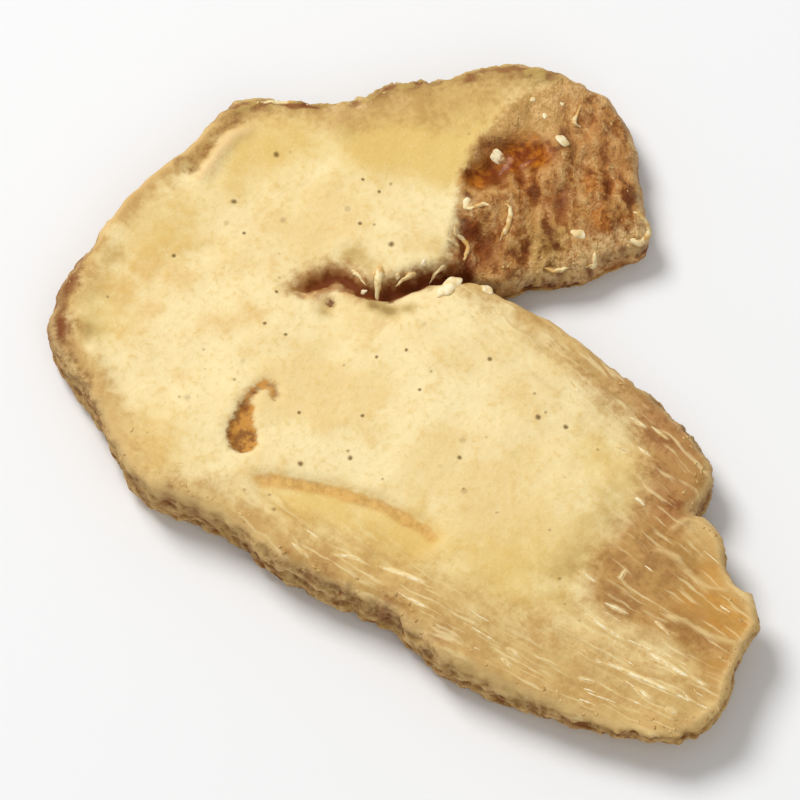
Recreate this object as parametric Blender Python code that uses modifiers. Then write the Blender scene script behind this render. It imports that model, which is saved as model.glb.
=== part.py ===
"""One dried slice of Solomon's seal rhizome, lying cut face up on three low points.

The slice starts as an outline filled to a slab and remeshed into small even faces. Formulas then shape it
point by point: its underside and its upper side are heights over the outline, and the wall between them is
wrinkled sideways. Sizes here are in millimetres. +X runs along the slice towards its frayed end, +Y towards
the knob of rind, and +Z is up. The finished slice is slid level until its box is centred on the origin.
"""

import bmesh
import bpy
import numpy as np
from mathutils import Vector, noise

MM = 0.001
SLICE = "rhizome_slice"

# The outline, counterclockwise, stretch by stretch.
BUTT_END = [(-31.0, 4.6), (-30.6, 0.0), (-30.9, -6.5), (-30.0, -11.8), (-29.6, -15.0), (-27.6, -18.6)]
HEEL = [(-24.6, -20.0), (-20.6, -21.0), (-17.2, -22.2), (-14.0, -23.4), (-10.6, -23.0), (-6.5, -21.5)]
LOWER_EDGE = [(0.0, -20.9), (4.5, -19.5), (8.0, -18.4), (13.0, -18.4), (19.0, -16.7), (24.5, -14.5)]
FRAYED_END = [(28.6, -12.2), (30.4, -10.4), (31.0, -7.2), (29.9, -4.6), (28.6, -2.0), (28.2, 0.0)]
FRAYED_LIPS = [(26.3, 1.4), (24.6, 1.2), (22.8, 2.0), (21.2, 3.5), (19.4, 4.1), (18.1, 3.4)]
UPPER_EDGE = [(17.8, 5.4), (16.4, 7.5), (13.0, 8.6), (8.5, 8.6), (4.0, 8.1), (-1.0, 7.4), (-5.2, 6.3)]
NOTCH = (-7.9, 5.9)
KNOB = [(-5.7, 7.7), (-4.5, 10.2), (-2.4, 12.3), (-1.5, 15.2), (-0.3, 18.0)]
KNOB_TIP = [(-3.3, 20.9), (-6.2, 23.2), (-8.3, 24.6), (-11.2, 25.2)]
TOP_EDGE = [(-14.2, 24.2), (-18.6, 21.2), (-21.2, 17.2), (-23.5, 14.5), (-24.6, 11.2), (-27.6, 8.3)]
LONG_LOBE = LOWER_EDGE + FRAYED_END + FRAYED_LIPS + UPPER_EDGE
OUTLINE = BUTT_END + HEEL + LONG_LOBE + [NOTCH] + KNOB + KNOB_TIP + TOP_EDGE
STEPS_PER_POINT = 6
RAGGED = 0.22  # how far the edge wanders from the smooth outline
RAGGED_SIZE = 1.8

# Heights above the surface that the slice lies on.
FACE_HEIGHT = 5.2
FRAYED_HEIGHT = 4.2
KNOB_EDGE_HEIGHT = 2.2
LIFT = 0.8
FRAYED_LIFT = 1.5  # the thin end curls up this much more
THINNEST = 0.9

FEET = [(-19.0, -13.0), (13.0, -9.0), (-12.0, 14.5)]
FOOT_DEPTH = 1.05
FOOT_RADIUS = 8.0
FOOT_FLATNESS = 0.03

# Where the cut flesh ends and the knob's rind begins, from the top edge down to the notch.
RIND_BORDER = [(-14.4, 25.0), (-15.7, 18.6), (-15.2, 14.4), (-12.9, 10.4), (-10.3, 6.7), (-9.4, 4.8)]
NOTCH_SLOPE = 0.6
RIND_STEP = 0.45
FOLD_WIDTH = 2.4
FOLD_HEIGHT = 0.55
HOLLOW = (-12.9, 15.2)
HOLLOW_DEPTH = 0.8

# The dark crevice runs from its blind end to the notch. Widths and depths are given at those two ends.
CREVICE = [(-15.4, -3.0), (-14.2, -1.3), (-11.9, -0.3), (-10.8, 0.3), (-10.1, 1.7), (-9.3, 4.0), NOTCH]
CREVICE_HALF_WIDTHS = (0.6, 0.95)
CREVICE_DEPTHS = (0.7, 2.9)

# The flesh below this line stands a little lower, behind a small step.
STEP_LINE = [(-7.7, -17.7), (-6.1, -16.3), (-2.3, -13.8), (1.2, -12.2), (5.0, -11.4), (7.1, -11.7)]
STEP_DROP = 0.5
STEP_FADE = 2.5

SCAR = [(-11.9, -11.3), (-12.2, -13.4), (-11.8, -14.9), (-10.1, -16.0), (-8.8, -15.8)]
SCAR_DEPTH = 0.6
SCAR_HALF_WIDTH = 0.55

RIDGE_SPACING = 1.5
RIDGE_HEIGHT = 0.3
WRINKLE_SIZE = 1.9
WRINKLE_DEPTH = 0.35

SLAB = 5.0
VOXEL = 0.42
TRIANGLES = 10800


def smooth_loop(points, steps):
    """A closed Catmull-Rom curve through the points, as an array of (x, y)."""
    corners = np.array(points, float)
    before, after, beyond = (np.roll(corners, turn, axis=0) for turn in (1, -1, -2))
    t = (np.arange(steps) / steps)[None, :, None]
    p0, p1, p2, p3 = (a[:, None, :] for a in (before, corners, after, beyond))
    curve = 0.5 * (
        2 * p1
        + (p2 - p0) * t
        + (2 * p0 - 5 * p1 + 4 * p2 - p3) * t**2
        + (3 * p1 - p0 - 3 * p2 + p3) * t**3
    )
    return curve.reshape(-1, 2)


def ragged(loop):
    """The loop with small wanderings along its own outward direction."""
    along = np.roll(loop, -1, axis=0) - np.roll(loop, 1, axis=0)
    outward = np.stack([along[:, 1], -along[:, 0]], axis=1)
    outward /= np.linalg.norm(outward, axis=1)[:, None]
    wander = noise_at(loop[:, 0], loop[:, 1], 0, RAGGED_SIZE, 4.0)
    return loop + RAGGED * wander[:, None] * outward


def smoothstep(low, high, value):
    t = np.clip((value - low) / (high - low), 0, 1)
    return t * t * (3 - 2 * t)


def mound(x, y, centre, radius):
    """A round swelling of height 1 that fades out a little past its radius."""
    return np.exp(-((x - centre[0]) ** 2 + (y - centre[1]) ** 2) / radius**2)


def groove(distance, half_width):
    return np.exp(-((distance / half_width) ** 2))


def follow(x, y, path, closed=False):
    """Distance to a path, how far along it the nearest point lies (0 to 1), and the side (+1 on its left)."""
    corners = np.array(path, float)
    starts = corners if closed else corners[:-1]
    ends = np.roll(corners, -1, axis=0) if closed else corners[1:]
    best = np.full(x.shape, np.inf)
    along = np.zeros(x.shape)
    side = np.zeros(x.shape)
    for number, ((ax, ay), (bx, by)) in enumerate(zip(starts, ends)):
        dx, dy = bx - ax, by - ay
        t = np.clip(((x - ax) * dx + (y - ay) * dy) / (dx * dx + dy * dy), 0, 1)
        off_x, off_y = x - ax - t * dx, y - ay - t * dy
        distance = np.hypot(off_x, off_y)
        nearer = distance < best
        best = np.where(nearer, distance, best)
        along = np.where(nearer, (number + t) / len(starts), along)
        side = np.where(nearer, np.sign(dx * off_y - dy * off_x), side)
    return best, along, side


def noise_at(x, y, z, size, seed, octaves=3):
    """Smooth noise of about -1 to 1, with lumps of that size."""
    levels = np.broadcast_to(z, x.shape)
    return np.array(
        [
            noise.fractal(Vector((a / size + seed, b / size, c / size)), 1.0, 2.0, octaves)
            for a, b, c in zip(x, y, levels)
        ]
    )


def folds_at(x, y, size, seed, octaves=1):
    """Sharp-crested folds of about 0 to 1, as in dried skin."""
    return 1 - 2.4 * np.abs(noise_at(x, y, 0, size, seed, octaves))


def across_fibres(x, y):
    """Distance across the fibres: they follow the bowed lower edge and straighten towards the upper one."""
    bow = 0.0078 * (x + 6) ** 2 * np.where(x > -6, 1, 0.2)
    return y - bow * np.clip((5 - y) / 22, 0, 1)


def share_of_knob(x, y, to_edge):
    """0 on the flesh, and on the knob's rind 0 to 1 from the flesh's border to the outer edge."""
    border_x, border_y = zip(*reversed(RIND_BORDER))
    past_border = x - np.interp(y, border_y, border_x)
    above_notch = y > NOTCH[1] + (x - NOTCH[0]) * NOTCH_SLOPE
    on_rind = (past_border > 0) & above_notch
    return np.where(on_rind, past_border / (past_border + to_edge + 0.01), 0)


def shoulder_width(x, y):
    """How broad the slope from cut face to wall is: crisp along most of the rim, broad where rind shows."""
    at_heel = 2.6 * mound(x, y, (-27.0, -18.0), 6.5)
    at_butt_corner = 1.5 * mound(x, y, (-28.0, 8.0), 6.0)
    at_top = 1.3 * mound(x, y, (-22.0, 17.0), 6.0)
    at_lower_edge = 0.9 * mound(x, y, (4.0, -20.0), 11.0)
    at_upper_edge = 1.0 * mound(x, y, (12.0, 8.0), 9.0)
    return 0.6 + at_heel + at_butt_corner + at_top + at_lower_edge + at_upper_edge


def underside_height(x, y, to_edge):
    """The underside stands clear of the ground but for the flat spots of the three feet."""
    at_feet = sum(mound(x, y, foot, FOOT_RADIUS) for foot in FEET)
    lift = LIFT + 0.45 * noise_at(x, y, 0, 11.0, 3.0) * np.clip(1 - at_feet, 0, 1)
    lift += FRAYED_LIFT * smoothstep(15, 31, x) + 0.4 * smoothstep(-24, -31, x)
    lift += 0.35 * (1 - smoothstep(0.0, 1.4, to_edge))
    return np.maximum(lift - FOOT_DEPTH * at_feet, 0)


def face_height(x, y):
    """The cut face: gently uneven, and thinning towards the frayed end and the upper edge."""
    thinning = (FACE_HEIGHT - FRAYED_HEIGHT) * smoothstep(6, 28, x)
    thinning += 0.8 * smoothstep(1, 9, y) * smoothstep(0, 12, x)
    dish = 0.4 * mound(x, y, (-21.0, -7.0), 9.0)
    swelling = 0.5 * mound(x, y, (-5.0, 1.0), 6.0)
    return FACE_HEIGHT - thinning - dish + swelling + 0.3 * noise_at(x, y, 0, 10.0, 7.0)


def knob_height(x, y, share, face):
    """The knob's rind bends down from the face to a low outer edge, in folds that run across the lobe."""
    slope = KNOB_EDGE_HEIGHT + (face - RIND_STEP - KNOB_EDGE_HEIGHT) * np.sqrt(1 - share**2)
    across, along = 0.72 * x + 0.69 * y, 0.72 * y - 0.69 * x
    folds = FOLD_HEIGHT * (folds_at(across, along / 2.2, FOLD_WIDTH, 11.0, 2) - 0.5)
    lumps = 0.5 * noise_at(x, y, 0, 5.0, 13.0)
    return slope + (folds + lumps) * (1 - share**4) - HOLLOW_DEPTH * mound(x, y, HOLLOW, 1.7)


def crevice_depth(x, y):
    distance, along, _ = follow(x, y, CREVICE)
    half_width = np.interp(along, (0, 1), CREVICE_HALF_WIDTHS)
    shallow, deep = CREVICE_DEPTHS
    return (shallow + (deep - shallow) * smoothstep(0, 0.8, along)) * groove(distance, half_width)


def step_depth(x, y):
    distance, along, side = follow(x, y, STEP_LINE)
    inside = smoothstep(0, 0.12, along) * (1 - smoothstep(0.9, 1, along))
    return STEP_DROP * inside * np.where(side < 0, np.exp(-distance / STEP_FADE), groove(distance, 0.35))


def scar_depth(x, y):
    return SCAR_DEPTH * groove(follow(x, y, SCAR)[0], SCAR_HALF_WIDTH)


def fibre_ridges(x, y, to_edge):
    """Ridges of fibre along the long lobe's margins and all over its frayed end."""
    on_lobe = smoothstep(-10, -2, x)
    in_margin = 1 - smoothstep(2.0, 7.5, to_edge)
    on_frayed_end = smoothstep(13, 22, x)
    ridges = folds_at(x / 7, across_fibres(x, y), RIDGE_SPACING, 20.0)
    return RIDGE_HEIGHT * ridges * on_lobe * np.maximum(in_margin, on_frayed_end)


def upper_height(x, y, to_edge, underside):
    """The upper side: cut face and knob, with their marks, rounded off towards the wall."""
    face = face_height(x, y)
    share = share_of_knob(x, y, to_edge)
    top = face + (knob_height(x, y, share, face) - face) * smoothstep(0.0, 0.06, share)
    top += fibre_ridges(x, y, to_edge) - crevice_depth(x, y) - step_depth(x, y) - scar_depth(x, y)
    width = shoulder_width(x, y)
    wall_share = 0.82 - 0.42 * np.clip((width - 0.6) / 2.6, 0, 1)
    inward = np.clip(to_edge / width, 0, 1)
    rounding = wall_share + (1 - wall_share) * np.sqrt(1 - (1 - inward) ** 2)
    return underside + np.maximum((top - underside) * rounding, THINNEST)


def shape_slice(points, loop):
    """The slab's points, an array of (x, y, z), moved to the slice's own surface."""
    x, y = points[:, 0], points[:, 1]
    level = np.clip(points[:, 2] / SLAB + 0.5, 0, 1)
    to_edge = follow(x, y, loop, closed=True)[0]
    underside = underside_height(x, y, to_edge)
    upper = upper_height(x, y, to_edge, underside)
    at_frayed_rim = smoothstep(14, 24, x) * (1 - smoothstep(0, 6, to_edge)) * (underside > 0.3)
    waves = 0.45 * noise_at(x, y, 0, 4.0, 31.0, 1) * at_frayed_rim
    shaped = points.copy()
    shaped[:, 2] = np.maximum(underside + level * (upper - underside) + waves, 0)

    on_wall = (1 - smoothstep(0.1, 1.3, to_edge)) * (1 - np.abs(2 * level - 1) ** 4)
    wrinkle = WRINKLE_DEPTH * noise_at(x, y, shaped[:, 2], WRINKLE_SIZE, 41.0)
    outward = points[:, :2] - loop.mean(axis=0)
    outward /= np.linalg.norm(outward, axis=1)[:, None]
    shaped[:, :2] += (on_wall * wrinkle)[:, None] * outward
    return shaped


def clear_scene():
    for obj in list(bpy.data.objects):
        bpy.data.objects.remove(obj)


def dried_root_material():
    material = bpy.data.materials.new("dried_root")
    material.use_nodes = True
    shader = material.node_tree.nodes["Principled BSDF"]
    shader.inputs["Base Color"].default_value = (0.78, 0.58, 0.30, 1)
    shader.inputs["Roughness"].default_value = 0.6
    shader.inputs["Metallic"].default_value = 0
    return material


def as_mesh(guide):
    """The object as its modifiers leave it, as a new mesh, with the object itself removed."""
    graph = bpy.context.evaluated_depsgraph_get()
    mesh = bpy.data.meshes.new_from_object(guide.evaluated_get(graph))
    bpy.data.objects.remove(guide)
    return mesh


def object_of(name, data):
    obj = bpy.data.objects.new(name, data)
    bpy.context.collection.objects.link(obj)
    return obj


def slab_from_outline(loop):
    """The outline filled and thickened, as one closed mesh of small even faces, in metres."""
    curve = bpy.data.curves.new("outline", "CURVE")
    curve.dimensions = "2D"
    curve.fill_mode = "BOTH"
    curve.extrude = SLAB / 2 * MM
    spline = curve.splines.new("POLY")
    spline.points.add(len(loop) - 1)
    for point, (x, y) in zip(spline.points, loop):
        point.co = (x * MM, y * MM, 0, 1)
    spline.use_cyclic_u = True
    mesh = as_mesh(object_of("outline", curve))

    solid = bmesh.new()
    solid.from_mesh(mesh)
    bmesh.ops.remove_doubles(solid, verts=solid.verts, dist=0.01 * MM)
    solid.to_mesh(mesh)
    solid.free()

    slab = object_of("slab", mesh)
    remesh = slab.modifiers.new("even_faces", "REMESH")
    remesh.mode = "VOXEL"
    remesh.voxel_size = VOXEL * MM
    return as_mesh(slab)


def with_points(mesh, change):
    """Replaces the mesh's points, given to change as an array in millimetres."""
    points = np.empty(len(mesh.vertices) * 3)
    mesh.vertices.foreach_get("co", points)
    changed = change(points.reshape(-1, 3) / MM)
    mesh.vertices.foreach_set("co", (changed * MM).ravel())
    mesh.update()


def centred(points):
    middle = (points.min(axis=0) + points.max(axis=0)) / 2
    return points - middle * (1, 1, 0)


def with_level_feet(points):
    """Fewer faces leave the feet's points a hair off the ground, so they are set back on it."""
    on_ground = points[:, 2] < FOOT_FLATNESS
    points[on_ground, 2] = 0
    return points


def make_slice():
    loop = ragged(smooth_loop(OUTLINE, STEPS_PER_POINT))
    fine = slab_from_outline(loop)
    with_points(fine, lambda points: shape_slice(points, loop))
    shaped = object_of("shaped", fine)
    fewer = shaped.modifiers.new("fewer_faces", "DECIMATE")
    fewer.ratio = TRIANGLES / (2 * len(fine.polygons))

    mesh = as_mesh(shaped)
    with_points(mesh, with_level_feet)
    with_points(mesh, centred)
    mesh.name = SLICE
    mesh.shade_smooth()
    mesh.materials.append(dried_root_material())
    group = bpy.data.collections.new("solomons_seal_root")
    bpy.context.scene.collection.children.link(group)
    group.objects.link(bpy.data.objects.new(SLICE, mesh))


clear_scene()
make_slice()
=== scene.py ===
"""The looks of one dried slice of Solomon's seal rhizome, laid cut face up on a pale floor.

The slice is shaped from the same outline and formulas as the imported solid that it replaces, on a finer mesh,
and then gets the relief of its dried skin, its fibres and its crumbling knob of rind. The same formulas paint
zones on its points, and the finish turns those zones into colours. Sizes are in millimetres unless a name
says otherwise: +X runs along the slice towards its frayed end, +Y towards the knob, and +Z is up.
"""

import math

import bmesh
import bpy
import numpy as np
from mathutils import Matrix, Vector, noise
from mathutils.bvhtree import BVHTree


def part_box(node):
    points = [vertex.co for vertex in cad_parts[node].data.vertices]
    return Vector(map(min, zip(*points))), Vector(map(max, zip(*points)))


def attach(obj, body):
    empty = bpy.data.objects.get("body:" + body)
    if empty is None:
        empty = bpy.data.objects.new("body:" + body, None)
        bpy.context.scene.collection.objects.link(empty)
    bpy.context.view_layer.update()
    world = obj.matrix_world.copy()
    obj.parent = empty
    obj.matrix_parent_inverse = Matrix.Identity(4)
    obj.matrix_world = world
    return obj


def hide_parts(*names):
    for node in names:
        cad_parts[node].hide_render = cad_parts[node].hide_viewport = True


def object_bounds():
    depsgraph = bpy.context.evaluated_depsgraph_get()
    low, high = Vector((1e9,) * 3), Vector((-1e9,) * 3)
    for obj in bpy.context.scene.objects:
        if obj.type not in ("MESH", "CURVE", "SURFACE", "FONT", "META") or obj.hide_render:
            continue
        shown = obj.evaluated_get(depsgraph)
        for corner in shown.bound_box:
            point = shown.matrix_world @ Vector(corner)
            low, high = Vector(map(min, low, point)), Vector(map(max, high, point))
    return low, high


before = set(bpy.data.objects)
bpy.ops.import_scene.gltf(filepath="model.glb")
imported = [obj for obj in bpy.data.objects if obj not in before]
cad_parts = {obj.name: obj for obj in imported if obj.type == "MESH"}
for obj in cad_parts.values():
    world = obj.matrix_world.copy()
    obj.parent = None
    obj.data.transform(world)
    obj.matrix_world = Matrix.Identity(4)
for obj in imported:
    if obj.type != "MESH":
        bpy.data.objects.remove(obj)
cad_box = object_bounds()

MM = 0.001
NODE = "rhizome_slice"

# The outline, counterclockwise, stretch by stretch, as the solid has it.
BUTT_END = [(-31.0, 4.6), (-30.6, 0.0), (-30.9, -6.5), (-30.0, -11.8), (-29.6, -15.0), (-27.6, -18.6)]
HEEL = [(-24.6, -20.0), (-20.6, -21.0), (-17.2, -22.2), (-14.0, -23.4), (-10.6, -23.0), (-6.5, -21.5)]
LOWER_EDGE = [(0.0, -20.9), (4.5, -19.5), (8.0, -18.4), (13.0, -18.4), (19.0, -16.7), (24.5, -14.5)]
FRAYED_END = [(28.6, -12.2), (30.4, -10.4), (31.0, -7.2), (29.9, -4.6), (28.6, -2.0), (28.2, 0.0)]
FRAYED_LIPS = [(26.3, 1.4), (24.6, 1.2), (22.8, 2.0), (21.2, 3.5), (19.4, 4.1), (18.1, 3.4)]
UPPER_EDGE = [(17.8, 5.4), (16.4, 7.5), (13.0, 8.6), (8.5, 8.6), (4.0, 8.1), (-1.0, 7.4), (-5.2, 6.3)]
NOTCH = (-7.9, 5.9)
KNOB = [(-5.7, 7.7), (-4.5, 10.2), (-2.4, 12.3), (-1.5, 15.2), (-0.3, 18.0)]
KNOB_TIP = [(-3.3, 20.9), (-6.2, 23.2), (-8.3, 24.6), (-11.2, 25.2)]
TOP_EDGE = [(-14.2, 24.2), (-18.6, 21.2), (-21.2, 17.2), (-23.5, 14.5), (-24.6, 11.2), (-27.6, 8.3)]
TOP_RIM = [KNOB_TIP[-1], *TOP_EDGE, BUTT_END[0]]
LONG_LOBE = LOWER_EDGE + FRAYED_END + FRAYED_LIPS + UPPER_EDGE
OUTLINE = BUTT_END + HEEL + LONG_LOBE + [NOTCH] + KNOB + KNOB_TIP + TOP_EDGE
STEPS_PER_POINT = 12
RAGGED = 0.22
RAGGED_SIZE = 1.8
CRUMBLED = 0.2
CRUMBLED_SIZE = 0.8

# Heights above the floor.
FACE_HEIGHT = 5.2
FRAYED_HEIGHT = 4.2
KNOB_EDGE_HEIGHT = 2.2
LIFT = 0.8
FRAYED_LIFT = 1.5
THINNEST = 0.9
FEET = [(-19.0, -13.0), (13.0, -9.0), (-12.0, 14.5)]
FOOT_DEPTH = 1.05
FOOT_RADIUS = 8.0

RIND_BORDER = [(-14.4, 25.0), (-15.7, 18.6), (-15.2, 14.4), (-12.9, 10.4), (-10.3, 6.7), (-9.4, 4.8)]
NOTCH_SLOPE = 0.6
RIND_STEP = 0.45
FOLD_WIDTH = 2.4
FOLD_HEIGHT = 0.42
HOLLOW = (-12.9, 15.2)
HOLLOW_DEPTH = 0.8

# The crevice and the scar are traced a little finer than the solid's.
CREVICE_BLIND_END = [(-15.5, -3.1), (-15.1, -1.9), (-14.5, -0.8), (-13.2, -0.6), (-12.2, -0.5), (-11.5, 0.0)]
CREVICE = CREVICE_BLIND_END + [(-10.8, 0.9), (-10.2, 2.2), (-9.7, 3.4), (-9.0, 4.6), NOTCH]
CREVICE_HALF_WIDTHS = (0.45, 0.75)
CREVICE_DEPTHS = (0.8, 2.3)

STEP_LINE = [(-7.7, -17.7), (-6.1, -16.3), (-2.3, -13.8), (1.2, -12.2), (5.0, -11.4), (7.1, -11.7)]
STEP_DROP = 0.5
STEP_FADE = 2.5

SCAR_HOOK = [(-10.9, -11.5), (-11.4, -11.0), (-12.0, -11.2), (-12.3, -12.3), (-11.9, -13.6)]
SCAR_BODY = [(-11.6, -13.8), (-10.9, -14.9), (-10.0, -15.7)]
SCAR_HALF_WIDTHS = (0.65, 1.2)
SCAR_DEPTHS = (0.35, 0.45)

# A soft fold of the face beside the butt end's rim, raised, with a furrow on its outer side.
BUTT_FOLD = [(-27.7, -3.0), (-27.9, -1.6), (-28.3, 0.4), (-28.6, 2.4), (-27.6, 4.6)]
BUTT_FOLD_HALF_WIDTH = 0.55
BUTT_FOLD_HEIGHT = 0.42

# Thin raised lips of glassy flesh on the frayed end.
GLASSY_LIPS = [
    [(18.3, 1.2), (18.5, 2.6), (19.4, 3.2), (21.1, 2.9), (22.5, 1.8)],
    [(18.8, -0.8), (20.1, -0.3), (21.9, -0.6), (23.5, -0.4), (24.6, 0.4)],
    [(23.2, -4.4), (24.1, -3.8), (26.3, -3.3), (28.5, -2.3)],
    [(22.5, 1.8), (24.6, 0.9), (26.4, 0.8), (28.0, -0.4), (28.4, -2.1)],
    [(28.6, -2.4), (29.5, -5.1), (30.5, -6.8), (30.3, -9.0)],
]
GLASSY_LIP_HALF_WIDTH = 0.24
GLASSY_LIP_HEIGHT = 0.16

RIDGE_SPACING = 1.5
RIDGE_HEIGHT = 0.2
WRINKLE_SIZE = 1.9
WRINKLE_DEPTH = 0.25

SLAB = 5.0
VOXEL = 0.235
SMOOTHING_ROUNDS = 3

# Lumps and hollows of the knob that are finer than the solid's: x, y, radius, height.
KNOB_LUMPS = [
    (-9.2, 16.7, 1.2, 0.55),
    (-11.6, 17.0, 1.3, -0.5),
    (-12.4, 13.6, 1.2, -0.5),
    (-9.2, 9.3, 1.2, -0.6),
    (-10.6, 11.4, 0.9, 0.35),
    (-11.6, 10.3, 0.7, 0.3),
    (-7.6, 7.6, 1.0, -0.45),
    (-1.9, 18.2, 0.9, -0.35),
    (-1.1, 18.8, 0.8, 0.45),
    (-7.4, 16.5, 0.5, -0.4),
    (-13.2, 22.0, 1.3, 0.35),
    (-6.2, 12.0, 0.8, -0.35),
    (-7.4, 13.4, 0.9, 0.3),
]
FINE_FOLD_WIDTH = 1.15
FINE_FOLD_HEIGHT = 0.16

# Soft dips of the flesh beside the crevice: x, y, radius, depth.
CREVICE_DIPS = [(-9.7, 0.0, 1.0, 0.6), (-13.4, -2.9, 0.4, 0.5), (-13.2, -3.5, 0.8, 0.2), (-14.8, 0.4, 1.2, 0.3)]

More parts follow.
